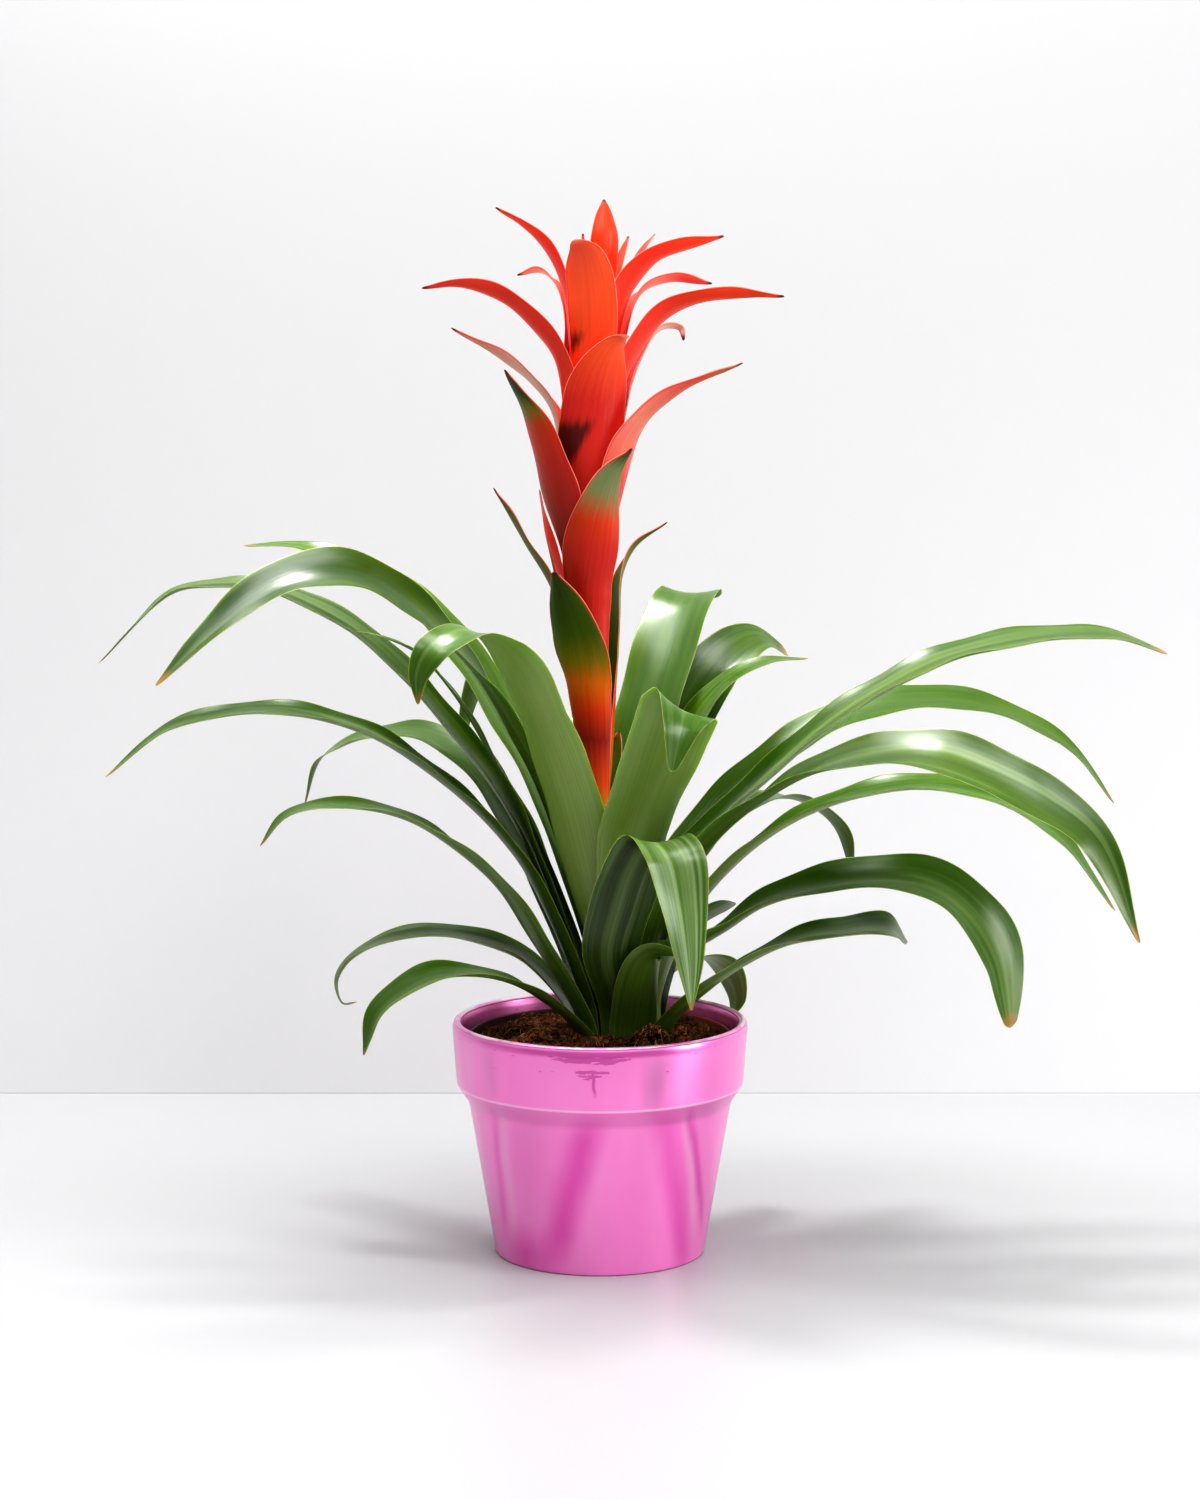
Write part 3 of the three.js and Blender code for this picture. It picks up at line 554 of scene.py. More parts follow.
# %% The leaves' paths
LEAVES = [
    dict(azimuth=[215, 200], layer=12, width=24, roll=-20, path=[[39, 134], [57, 143], [75, 147],
         [92, 147], [107, 140], [118, 129], [123, 108]]),
    dict(azimuth=[318, 362], layer=12, width=26, roll=20, narrows=0.75, end=5, path=[[64, 139],
         [82, 153], [101, 163], [125, 167], [143, 166], [153, 158]]),
    dict(azimuth=[165, 172], layer=11, width=26, roll=-15, path=[[37, 144], [54, 152], [76, 157],
         [99, 156], [117, 151], [130, 142], [135, 132], [132, 122], [124, 123]]),
    dict(azimuth=[60, 50], layer=11, width=30, path=[[47, 128], [67, 134], [88, 136], [104, 131],
         [114, 121], [116, 110], [108, 102]]),
    dict(azimuth=[205, 196], layer=10, width=30, roll=-10, path=[[37, 161], [55, 188], [77, 208],
         [100, 223], [124, 230], [146, 231], [160, 226], [171, 212]]),
    dict(azimuth=[285, 303, 320, 333, 341, 345, 348, 350, 351, 352, 352], layer=10, width=32, roll=42,
         narrows=0.8, end=7, path=[[47, 155], [55, 158], [68, 167], [87, 181], [117, 191], [151, 194],
         [171, 188], [188, 173], [198, 155], [204, 119]]),
    dict(azimuth=[145, 140], layer=9, width=26, roll=-25, path=[[38, 182], [55, 211], [76, 235],
         [97, 248], [120, 253], [146, 251], [172, 244], [194, 233], [207, 208]]),
    dict(azimuth=[28, 28], layer=9, width=20, end=16, path=[[45, 152], [58, 163], [77, 171]]),
    dict(azimuth=[275, 279, 283, 287, 290, 292, 293], layer=8, width=34, channel=[0.6, 0.3],
         path=[[44, 158], [58, 182], [76, 206], [94, 220], [104, 214], [108, 193], [110, 167],
         [110, 142]]),
    dict(azimuth=[48, 36], layer=8, width=28, path=[[45, 168], [67, 193], [91, 210], [114, 218],
         [134, 217], [151, 209], [162, 196], [165, 173]]),
    dict(azimuth=[342, 351], layer=7, width=32, roll=15, path=[[48, 172], [70, 199], [97, 220],
         [126, 233], [155, 239], [181, 238], [205, 230], [228, 214], [254, 179]]),
    dict(azimuth=[192, 186], layer=7, width=32, roll=-12, path=[[36, 190], [50, 210], [68, 229],
         [90, 247], [113, 262], [138, 271], [163, 275], [188, 273], [212, 267], [243, 243]]),
    dict(azimuth=[325, 336], layer=6, width=36, roll=45, path=[[50, 190], [67, 213], [94, 235],
         [122, 251], [151, 259], [180, 261], [207, 253], [232, 241], [254, 224], [275, 176]]),
    dict(azimuth=[170, 172], layer=6, width=32, roll=-10, path=[[36, 202], [50, 228], [67, 251],
         [97, 286], [121, 308], [149, 324], [172, 332], [194, 333], [217, 329], [256, 293]]),
    dict(azimuth=[40, 12], layer=5, width=30, roll=35, path=[[44, 184], [80, 223], [108, 244],
         [135, 260], [167, 269], [199, 270], [230, 261], [254, 244], [270, 219]]),
    dict(azimuth=[184, 190], layer=5, width=17, path=[[31, 199], [40, 222], [54, 250], [72, 281],
         [90, 302], [108, 311], [121, 314]]),
    dict(azimuth=[6, 9], layer=4, width=34, roll=12, narrows=0.7, end=6, path=[[37, 192], [58, 214],
         [88, 241], [116, 264], [145, 282], [175, 296], [204, 303], [236, 307], [264, 306],
         [292, 297]]),
    dict(azimuth=[110, 119], layer=4, width=30, path=[[36, 212], [58, 246], [85, 268], [115, 282],
         [138, 279], [151, 262], [153, 240]]),
    dict(azimuth=[298, 287], layer=3, width=39, roll=[-2, -10, -22, -30, -20, -8], end=4, power=1,
         narrows=0.8, path=[[40, 212], [64, 244], [88, 270], [106, 284], [114, 277], [114, 256]]),
    dict(azimuth=[50, 44], layer=3, width=34, roll=40, narrows=0.6, end=9, path=[[33, 208], [49, 238],
         [70, 270], [91, 292], [116, 302], [136, 293]]),
    dict(azimuth=[254, 251, 247, 242, 238, 234, 232, 231, 230, 228, 226, 225], layer=2, width=33,
         neck=0.65, roll=[3, 5, 3, 0, 0, -2, -8, -18, -26, -28, -24], channel=[0.45, 0.3], narrows=0.62,
         path=[[25, 204], [37, 232], [47, 256], [56, 276], [64, 295], [79, 311], [96, 318], [110, 315],
         [119, 309], [122, 299], [121, 285]]),
    dict(azimuth=[142, 156], layer=2, width=30, roll=-18, path=[[38, 230], [55, 257], [79, 292],
         [107, 321], [139, 339], [170, 350], [202, 350]]),
    dict(azimuth=[196, 203], layer=1, width=34, roll=[3, 0, -10, -24, -34, -38, -38, -38, -38, -38],
         path=[[30, 232], [45, 261], [61, 288], [78, 309], [102, 331], [127, 344], [153, 344],
         [178, 334], [203, 315], [226, 294]]),
    dict(azimuth=[30, 22], layer=1, width=26, roll=10, path=[[34, 230], [49, 257], [62, 276], [76, 288],
         [92, 294], [114, 295]]),
    dict(azimuth=[48, 64], layer=0, width=38, end=30, narrows=0.75, channel=[0.5, 0.3], path=[[20, 200],
         [29, 234], [44, 268], [63, 299], [83, 320], [99, 325], [109, 321]]),
]

# %% [markdown]
# Each leaf stands just clear of the stem's cone, one inside the other, so its root's height follows from
# its layer. The tips of most are pointed, and those that were trimmed in the shop end in a round cut.
# Two lists by leaf number say how much paler than the common green a leaf's lower or upper face is, and
# a number below 0 makes it darker. Leaf 9's darker lower face is painted shade, as it faces down, and
# leaf 21's paler lower face is painted sheen. Three leaves have fresh green tips, and leaf 9 has pale
# streaks on its upper face that are a painted highlight.


# %% Make the leaves
def root_height(layer_radius, slope):
    """The height where the cone under a leaf's inner face and the leaf's own cone meet."""
    steepness = (STEM_CONE_TOP - STEM_CONE_FOOT) / (STEM_BASE_RADIUS - STEM_CONE_TOP_RADIUS)
    inset = STEM_BASE_RADIUS - layer_radius + LEAF_THICKNESS / 2 + slope * FLARE_HEIGHT
    return (STEM_CONE_FOOT + CLEARANCE + steepness * inset) / (1 + steepness * slope)


LEAF_COMMON = dict(
    end=TIP_WIDTH, roll=0, narrows=0.45, power=2.2, channel=[0.75, 0.3], neck=LEAF_NECK, hugs=0,
    clasp=LEAF_CLASP, thickness=LEAF_THICKNESS, unwrap=LEAF_UNWRAP, wave=0.7, wave_length=46,
)
LEAF_ROWS = 110
LEAF_COLUMNS = 25
TRIMMED_END = 10
# Leaf 9's darker lower face is painted shade, and leaf 21's paler lower face is painted sheen
LIGHT_AND_TONE_BELOW = {9: -0.8, 19: 0.7, 21: 0.8, 11: 0.5, 8: 0.5}
LIGHT_AND_TONE_ABOVE = {23: -0.7, 14: -0.7, 12: -0.6, 3: -0.6, 17: -0.4, 9: 0.1, 20: -0.5, 13: -0.5, 25: -0.2}
FRESH_TIPS = (16, 19, 25)
# Leaf 9 carries painted highlight streaks on its upper face
GLARE_STREAKED_LEAVES = (9,)

leaves = []
for number, row in enumerate(LEAVES, start=1):
    leaf = {**LEAF_COMMON, **row}
    layer_radius = LEAF_LAYER_RADIUS + LEAF_LAYER_PITCH * leaf["layer"]
    leaf["slope"] = layer_radius * LEAF_FLARE
    leaf["root"] = root_height(layer_radius, leaf["slope"])
    leaf["leaves"] = LEAF_DEPARTURE_OUTER + LEAF_DEPARTURE_STEP * (LEAF_LAYERS - 1 - leaf["layer"])
    leaf["root_radius"] = layer_radius + leaf["slope"] * (leaf["root"] - FLARE_HEIGHT)
    leaf["tip_round"] = 0.5 if leaf["end"] < TRIMMED_END else 0.3
    node = f"leaf_{number:02d}"
    strap = blade_piece(
        "strap_" + node, node, leaf, LEAF_ROWS, LEAF_COLUMNS, number - 1, LEAF_GREEN)
    same = np.ones(len(strap.data.vertices))
    give_values(strap, below=same * LIGHT_AND_TONE_BELOW.get(number, 0), above=same * LIGHT_AND_TONE_ABOVE.get(number, 0),
                dry=same * (number not in FRESH_TIPS), worn=same * (number in GLARE_STREAKED_LEAVES))
    leaves.append(strap)
print(len(leaves), "leaves")

# %% [markdown]
# The bracts are the showy part. They are modified leaves that clasp the flower stem and bend outwards
# higher up. Their colour changes along each one: the lowest are still green with a red middle, and the
# upper ones are scarlet, with orange where they are young and a pale pinkish lower face where they
# spread. So each bract gets its own list of colours from its root to its tip, for its outer face. The
# margins are thin and pale, and the last millimetres are dry and dark, except on two blunt bracts. The
# same two end in bright orange, a painted highlight where light falls on their tips, and have a painted
# shadow low down, where they dip behind their neighbours.


# %% The bract material
def bract_material(name, outer, inner, tip, shade_corner):
    """Satin bract: colours along the outer face and the inner face, streaked and flecked lengthwise.

    tip is the colour of its last millimetres. The last argument is the upper right corner, x and height in
    millimetres, of a painted three-cornered shadow whose right edge leans inwards on its way down, or None.
    """
    material, tree, shader = new_material(name, Roughness=0.38, Specular_IOR_Level=0.45)
    across = wire(tree, "UVMap", uv_map="along_the_blade").outputs["UV"]
    streaks = noise(tree, across, (14, 0.8, 1), 2.5)
    threads = noise(tree, across, (60, 1.6, 1), 2.0, shift=(2, 5, 0))
    flecks = noise(tree, across, (40, 9, 1), 2.0, shift=(5, 1, 0))
    whole, margin, face = (attribute(tree, given) for given in ("whole", "margin", "upper"))
    ragged = calc(tree, "MULTIPLY_ADD", calc(tree, "SUBTRACT", streaks, 0.5), 0.09, whole)
    layers = [
        (span(tree, threads, 0.5, 0.8, 0.0, 0.2), THREAD_RED),
        (span(tree, flecks, 0.68, 0.8, 0.0, 0.25), THREAD_RED),
        (span(tree, margin, 1.6, 0.3, 0.0, 0.6), MARGIN_RED),
        (span(tree, margin, 0.6, 0.25, 0.0, 0.55), MARGIN_PINK),
        (span(tree, whole, 0.975, 0.995), tip),
    ]
    # A painted shadow, dark maroon, where the bract dips behind its neighbours
    if shade_corner:
        corner, top = shade_corner
        x, _, z = axes(tree, object_place(tree))
        height = calc(tree, "MULTIPLY_ADD", streaks, 10 * MM, z)
        edge = calc(tree, "MULTIPLY_ADD", height, -SHADOW_LEAN, x)
        rim = (corner - SHADOW_LEAN * top) * MM
        painted_shadow = product(tree, span(tree, edge, rim, rim - 5 * MM),
                       span(tree, height, (top + 3) * MM, (top - 5) * MM, 0.0, 0.85))
        layers.append((painted_shadow, SHADOW_MAROON))
    along_it = blend(tree, face, bands(tree, ragged, outer), bands(tree, ragged, inner))
    tree.links.new(layered(tree, along_it, layers), shader.inputs["Base Color"])
    let_light_through(shader, 0.2, (1.0, 0.35, 0.15))
    relief = calc(tree, "ADD", calc(tree, "MULTIPLY", streaks, 1.5), calc(tree, "MULTIPLY", threads, 0.5))
    bump(tree, shader, relief, 0.3, 0.0006)
    return material


DARK_GREEN = tint(52, 76, 24)
GREEN = tint(84, 112, 14)
SAGE = tint(128, 138, 92)
OLIVE = tint(140, 128, 8)
GOLD = tint(230, 156, 40)
AMBER = tint(222, 116, 8)
ORANGE = tint(246, 92, 42)
# Painted highlight: the bright orange tips of bracts 9 and 16, where light falls on them
LIT_TIP_ORANGE = tint(255, 112, 70)
RUST = tint(214, 66, 14)
SCARLET = tint(236, 66, 40)
RED = tint(206, 48, 36)
CRIMSON = tint(160, 38, 34)
ROSE = tint(226, 84, 70)
PINK = tint(240, 146, 128)
PALE = tint(246, 206, 192)
THREAD_RED = tint(150, 14, 10)
MARGIN_RED = tint(214, 34, 22)
MARGIN_PINK = tint(250, 172, 152)
# Painted shadow where a bract dips behind its neighbours
SHADOW_MAROON = tint(58, 8, 12)
DARK_TIP = tint(70, 34, 20)
PALE_TIP = tint(248, 150, 130)
SHADOW_LEAN = 0.55

SCARLET_INNER = [(0.0, ORANGE), (0.5, SCARLET), (0.9, SCARLET)]
RED_INNER = [(0.0, ORANGE), (0.6, RUST), (0.9, RUST)]
GREEN_INNER = [(0.0, OLIVE), (0.5, GREEN), (1.0, GREEN)]
UPPER_OUTER = [(0.0, ORANGE), (0.4, SCARLET), (0.75, SCARLET), (1.0, ORANGE)]
PALE_OUTER = [(0.0, ORANGE), (0.45, SCARLET), (0.62, SCARLET), (0.75, PINK), (0.9, PALE)]
BRACT_COLOURS = {
    1: ([(0.0, OLIVE), (1.0, GREEN)], GREEN_INNER),
    2: ([(0.0, GOLD), (0.14, GOLD), (0.24, ORANGE), (0.4, CRIMSON), (0.5, RUST), (0.6, AMBER),
         (0.68, OLIVE), (0.77, GREEN), (1.0, DARK_GREEN)], GREEN_INNER),
    3: ([(0.0, GOLD), (0.35, RUST), (0.5, AMBER), (0.58, OLIVE), (0.75, SAGE), (1.0, GREEN)], GREEN_INNER),
    4: ([(0.0, GOLD), (0.35, RUST), (0.6, CRIMSON), (0.72, SAGE), (1.0, GREEN)], GREEN_INNER),
    5: ([(0.0, ORANGE), (0.6, SCARLET), (0.8, SCARLET), (1.0, ORANGE)], SCARLET_INNER),
    6: ([(0.0, ORANGE), (0.35, RED), (0.64, RED), (0.74, RUST), (0.84, SAGE), (0.92, SAGE),
         (0.98, DARK_GREEN)], GREEN_INNER),
    7: ([(0.0, ORANGE), (0.3, CRIMSON), (0.5, CRIMSON), (0.72, RED), (0.82, RUST), (0.87, OLIVE),
         (0.92, DARK_GREEN)], GREEN_INNER),
    8: ([(0.0, ORANGE), (0.35, RED), (0.55, ROSE), (0.7, PINK), (0.88, ROSE), (0.97, SAGE)],
        SCARLET_INNER),
    9: ([(0.0, CRIMSON), (0.4, RED), (0.78, RED), (0.92, ORANGE), (1.0, LIT_TIP_ORANGE)], SCARLET_INNER),
    10: ([(0.0, ORANGE), (0.4, ROSE), (0.52, PINK), (0.75, PALE), (1.0, PINK)], SCARLET_INNER),
    13: ([(0.0, ORANGE), (0.6, SCARLET), (0.8, SCARLET), (0.95, ROSE)], SCARLET_INNER),
    15: ([(0.0, ORANGE), (0.6, SCARLET), (0.8, PINK), (0.9, ROSE)], SCARLET_INNER),
    16: ([(0.0, ORANGE), (0.4, SCARLET), (0.7, ORANGE), (1.0, LIT_TIP_ORANGE)], SCARLET_INNER),
    22: ([(0.0, ORANGE), (0.5, RUST)], RED_INNER),
}
print(len(BRACT_COLOURS), "bracts have colours of their own")

# %% [markdown]
# The bracts, lowest first. root is the height of the root on the flower stem, leaves the height where
# the bract comes off its cone, and slope how fast that cone opens where it isn't the common one.

# %% The bracts' paths
BRACTS = [
    dict(azimuth=[48, 40], root=192, leaves=236, width=22, path=[[12, 248], [15, 262]]),
    dict(azimuth=[240, 228], root=203, leaves=280, width=34, channel=[0.6, 0.5], narrows=0.3, power=2.2,
         end=3, path=[[17, 309], [22, 327], [27, 343]]),
    dict(azimuth=[40, 3], root=222, leaves=300, width=24, roll=-25, path=[[15, 322], [17, 340],
         [24, 355], [37, 366]]),
    dict(azimuth=[178, 178], root=234, leaves=310, width=24, roll=25, path=[[20, 335], [32, 355],
         [42, 370], [52, 383]]),
    dict(azimuth=[160, 165], root=245, leaves=316, width=21, path=[[17, 337], [22, 359], [26, 382]]),
    dict(azimuth=[257, 308], root=255, leaves=330, width=30, narrows=0.25, power=1.8, path=[[17, 350],
         [22, 373], [26, 391], [32, 403]]),
    dict(azimuth=[224, 215], root=268, leaves=345, width=31, narrows=0.35, power=1.8, path=[[18, 365],
         [26, 389], [36, 414], [56, 441]]),
    dict(azimuth=[304, 356], root=280, leaves=364, width=22, roll=-25, path=[[18, 388], [23, 409],
         [38, 428], [70, 444]]),
    dict(azimuth=[266, 303], root=290, leaves=378, width=34, channel=[0.55, 0.45], narrows=0.5, end=3,
         power=2.2, path=[[15, 412], [18, 432], [22, 446], [26, 454], [30, 457]]),
    dict(azimuth=[165, 172], root=300, leaves=392, width=26, roll=35, path=[[20, 420], [31, 434],
         [49, 447], [74, 461]]),
    dict(azimuth=[32, 20], root=311, leaves=402, width=26, roll=-35, path=[[22, 437], [35, 460],
         [44, 461], [45, 455]]),
    dict(azimuth=[345, 354], root=322, leaves=412, width=28, roll=-45, path=[[18, 441], [36, 469],
         [64, 477], [90, 476]]),
    dict(azimuth=[194, 186], root=333, leaves=417, width=28, roll=45, path=[[19, 446], [31, 462],
         [50, 477], [70, 482], [87, 480]]),
    dict(azimuth=[138, 150], root=344, leaves=432, width=24, roll=30, path=[[17, 464], [24, 481],
         [35, 489], [47, 487]]),
    dict(azimuth=[38, 28], root=355, leaves=438, width=26, roll=-40, path=[[18, 465], [27, 479],
         [42, 485], [63, 483]]),
    dict(azimuth=[266, 243], root=366, leaves=445, width=26, channel=[0.6, 0.3], narrows=0.6, end=5,
         power=2.4, path=[[17, 472], [19, 486], [22, 497], [27, 503]]),
    dict(azimuth=[186, 184], root=377, leaves=450, width=25, roll=32, path=[[17, 480], [26, 499],
         [38, 511], [51, 519]]),
    dict(azimuth=[335, 350], root=388, leaves=455, width=28, roll=-40, path=[[16, 478], [26, 493],
         [41, 500], [61, 505]]),
    dict(azimuth=[25, 25], root=398, leaves=464, slope=0.11, width=18, path=[[16, 484], [23, 498],
         [30, 507]]),
    dict(azimuth=[52, 50], root=408, leaves=467, slope=0.1, width=14, path=[[14, 488], [22, 506]]),
    dict(azimuth=[135, 135], root=417, leaves=470, slope=0.09, width=14, path=[[11, 490], [12, 507]]),
    dict(azimuth=[300, 300], root=426, leaves=476, slope=0.06, width=19, channel=[1, 0.8], narrows=0.5,
         power=2, path=[[8, 494], [8, 507], [6, 516], [4, 523]]),
]

# %% [markdown]
# Most upper bracts share one list of colours. Two of those that reach out to the sides show pale lower
# faces to the camera, and the two blunt ones in front end without a dry tip.

# %% Make the bracts
BRACT_COMMON = dict(
    end=TIP_WIDTH, roll=0, narrows=0.08, power=1.35, channel=[0.7, 0.5], slope=BRACT_SLOPE, neck=1,
    hugs=1, root_radius=BRACT_ROOT_RADIUS, clasp=BRACT_CLASP, thickness=BRACT_THICKNESS,
    unwrap=BRACT_UNWRAP, wave=0.5, wave_length=34, tip_round=0.5,
)
BRACT_ROWS = 72
BRACT_COLUMNS = 21
PALE_BELOW = (11, 14)
BLUNT = (9, 16)
# Upper right corners of the painted shadows on bracts 9 and 16
PAINTED_SHADOW_CORNERS = {9: (0, 421), 16: (-5, 464)}
BRACT_FIRST_SEED = 40

bracts = []
for number, row in enumerate(BRACTS, start=1):
    outer, inner = BRACT_COLOURS.get(
        number, (PALE_OUTER if number in PALE_BELOW else UPPER_OUTER, SCARLET_INNER))
    tip = PALE_TIP if number in BLUNT else DARK_TIP
    material = bract_material(f"bract_skin_{number:02d}", outer, inner, tip, PAINTED_SHADOW_CORNERS.get(number))
    bracts.append(blade_piece(
        f"coloured_bract_{number:02d}", f"bract_{number:02d}", {**BRACT_COMMON, **row},
        BRACT_ROWS, BRACT_COLUMNS, BRACT_FIRST_SEED + number - 1, material))
print(len(bracts), "bracts")

# %% [markdown]
# The cover pot is thrown or pressed on a wheel, so it is a profile turned about its axis: a plain tapered
# body, a wider rim band and a rounded lip. A Screw modifier could turn it, but here the rings are worked
# out at once, with every corner of the profile rounded by a short curve, as glaze rounds a real edge.

# %% Sizes of the pots
POT_HEIGHT = 118
RIM_RADIUS = 74
RIM_BAND_FOOT_RADIUS = 71.7
RIM_BAND_FOOT_HEIGHT = 86.7
BODY_TOP_RADIUS = 66.4
BODY_TOP_HEIGHT = 80.8
FOOT_RADIUS = 53
POT_WALL = 5
POT_FLOOR = 6
NURSERY_TOP_RADIUS = 65.5
NURSERY_FOOT_RADIUS = 45
NURSERY_TOP_HEIGHT = 111
NURSERY_WALL = 1.2
NURSERY_FLOOR_HEIGHT = POT_FLOOR + CLEARANCE
POT_SEGMENTS = 192


def rounded(corners, steps=7):
    """A profile of [radius, height, rounding] corners, each cut back by its rounding and bridged by a
    quadratic curve: (1 − t)² of the start, 2t(1 − t) of the corner and t² of the end."""
    corners = np.array(corners, dtype=float)
    places, cuts = corners[:, :2], corners[:, 2:]
    line = [places[:1]]
    t = np.linspace(0, 1, steps)[:, None]
    for before, here, after, cut in zip(places[:-2], places[1:-1], places[2:], cuts[1:-1]):
        start = here + unit(before - here) * cut
        end = here + unit(after - here) * cut
        curve = (1 - t) ** 2 * start + 2 * t * (1 - t) * here + t**2 * end
        line.append(curve if cut[0] > 0 else here[None, :])
    return np.vstack([*line, places[-1:]])


def turned(profile, segments=POT_SEGMENTS):
    """Rings of a profile about the Z axis. It starts and ends on the axis, with the solid on its left."""
    turn = np.linspace(0, 2 * np.pi, segments, endpoint=False)
    rings = profile[1:-1]
    points = np.stack([rings[:, :1] * np.cos(turn), rings[:, :1] * np.sin(turn),
                       np.broadcast_to(rings[:, 1:], (len(rings), segments))], axis=-1)
    number = np.arange(len(rings) * segments).reshape(len(rings), segments)
    beside = np.roll(number, -1, axis=1)
    quads = np.stack([number[:-1], beside[:-1], beside[1:], number[1:]], axis=-1).reshape(-1, 4)
    first, last = number.size, number.size + 1
    start_fan = np.stack([np.full(segments, first), beside[0], number[0]], axis=-1)
    end_fan = np.stack([np.full(segments, last), number[-1], beside[-1]], axis=-1)
    poles = [[0, 0, profile[0, 1]], [0, 0, profile[-1, 1]]]
    faces = quads.tolist() + start_fan.tolist() + end_fan.tolist()
    return np.vstack([points.reshape(-1, 3), poles]), faces


print("pots: rim", 2 * RIM_RADIUS, "mm across, foot", 2 * FOOT_RADIUS, "mm across")

# %% [markdown]
# The glaze is a glossy metallic lustre in orchid pink. It mirrors the white room softly, with darker
# magenta bands where it mirrors the leaves and the room's shaded side. Mirrors alone give some of that at
# rest, but the bands on the real pot are stronger, so they are painted into the glaze's colour as soft
# stripes down the pot, each at its own angle round it: dark stripes are painted reflections and pale
# ones painted highlights. The glaze pools darker under the lip, where one drip has run down the rim
# band, and a thin painted highlight runs along the rim band's foot.


# %% The pink lustre glaze
def stripe(tree, turn, height, centre, lean, wide, low, high):
    """A soft upright stripe: 1 on its middle line, 0 beyond its width in degrees, faded at both ends.

    Its middle is centre + lean · (height − low), in degrees round the pot from the front.
    """
    slant = calc(tree, "MULTIPLY_ADD", height, -lean, lean * low - centre)
    off = calc(tree, "ABSOLUTE", calc(tree, "ADD", turn, slant))
    return product(tree, span(tree, off, wide, 0.0),
                   span(tree, height, low - STRIPE_FADE, low + STRIPE_FADE),
                   span(tree, height, high + STRIPE_FADE, high - STRIPE_FADE))


def lustre_glaze():
    """Metallic pink glaze with stripes of painted reflection, a pooled line, a drip, whitish wear on the
    lip and a painted highlight at the band's foot. Heights in millimetres.
    """
    material, tree, shader = new_material("pink_lustre_glaze", Metallic=0.5, Coat_Weight=0.35)
    shader.inputs["Coat Roughness"].default_value = 0.2
    place = object_place(tree)
    x, y, z = axes(tree, place)
    height = calc(tree, "MULTIPLY", z, 1 / MM)
    radians = calc(tree, "ARCTAN2", x, calc(tree, "MULTIPLY", y, -1.0))
    clouds = noise(tree, place, (26, 26, 12), 3.0)
    brush = noise(tree, place, (60, 60, 6), 2.0, shift=(4, 0, 0))
    wobble = calc(tree, "MULTIPLY", calc(tree, "SUBTRACT", clouds, 0.5), STRIPE_WOBBLE)
    turn = calc(tree, "MULTIPLY_ADD", radians, 180 / math.pi, wobble)

    pooled = product(tree, span(tree, height, 112.0, 114.0), span(tree, height, 116.5, 115.5),
                     span(tree, calc(tree, "ABSOLUTE", turn), 60.0, 20.0, 0.05, 0.55))
    from_edge = from_value(tree, height, RIM_BAND_FOOT_HEIGHT - 0.4)
    worn = product(tree, span(tree, height, 116.9, 117.7), span(tree, brush, 0.42, 0.6), 0.75)
    colour = layered(tree, PINK_GLAZE, [
        (span(tree, clouds, 0.35, 0.7, 0.0, 0.3), ROSE_GLAZE),
        # Painted reflections and highlights, laid as soft stripes
        *((product(tree, stripe(tree, turn, height, *where), strength), tone)
          for tone, strength, *where in REFLECTION_STRIPES),
        (span(tree, brush, 0.5, 0.8, 0.0, 0.18), PALE_GLAZE_AND_HIGHLIGHT),
        (pooled, POOLED_GLAZE),
        (drip_mask(tree, turn, height, place), DRIPPED_GLAZE),
        (span(tree, from_edge, 0.9, 0.3, 0.0, 0.75), LIT_EDGE),
        (worn, WORN_LIP),
    ])
    tree.links.new(colour, shader.inputs["Base Color"])
    gloss = calc(tree, "MULTIPLY_ADD", clouds, 0.08, 0.26)
    tree.links.new(gloss, shader.inputs["Roughness"])
    bump(tree, shader, brush, 0.03, 0.0005)
    return material


def drip_mask(tree, turn, height, place):
    """Ragged brush marks where glaze gathered below the lip at the front, and the thin run under them.

    The marks are where a fine noise passes a level, which is lowest in two rows: under the lip and at
    the lower row's height. turn is in degrees from the front, and height in millimetres.
    """
    rag = noise(tree, place, (110, 110, 560), 4.0, 0.6)
    from_middle = from_value(tree, turn, DRIP_MIDDLE)
    upper = calc(tree, "ADD", span(tree, height, 112.5, 107.5, 0.36, 0.66),
                 span(tree, from_middle, 5.0, 24.0, 0.0, 0.26))
    lower = calc(tree, "ADD", span(tree, from_value(tree, height, DRIP_LOWER_ROW), 0.5, 4.5, 0.38, 0.66),
                 span(tree, from_middle, 1.0, 10.0, 0.0, 0.26))
    above_level = calc(tree, "SUBTRACT", rag, calc(tree, "MINIMUM", upper, lower))
    marks = product(tree, span(tree, above_level, 0.0, 0.05), span(tree, height, 114.5, 113.0),
                    span(tree, height, 99.0, 101.0))
    sway = calc(tree, "MULTIPLY_ADD", noise(tree, place, (1, 1, 150), 1.0), 2.4, 0.6)
    from_run = calc(tree, "ABSOLUTE", calc(tree, "ADD", turn, sway))
    run = product(tree, span(tree, from_run, 0.9, 0.3), span(tree, height, 92.0, 98.0),
                  span(tree, height, 108.0, 105.0))
    return calc(tree, "MULTIPLY", calc(tree, "MAXIMUM", marks, run), 0.6)


PINK_GLAZE = tint(252, 150, 216)
ROSE_GLAZE = tint(244, 128, 204)
# Pale glaze: faint brush marks in the glaze itself, and painted highlights in the stripes
PALE_GLAZE_AND_HIGHLIGHT = tint(244, 178, 218)
# The magenta and plum stripes are painted reflections
REFLECTED_MAGENTA = tint(226, 76, 180)
REFLECTED_PLUM = tint(196, 120, 174)
POOLED_GLAZE = tint(196, 40, 150)
DRIPPED_GLAZE = tint(190, 44, 150)
LIT_EDGE = tint(255, 200, 234)
WORN_LIP = tint(244, 226, 238)
STRIPE_FADE = 12
STRIPE_WOBBLE = 14
DRIP_MIDDLE = -4
DRIP_LOWER_ROW = 105.2
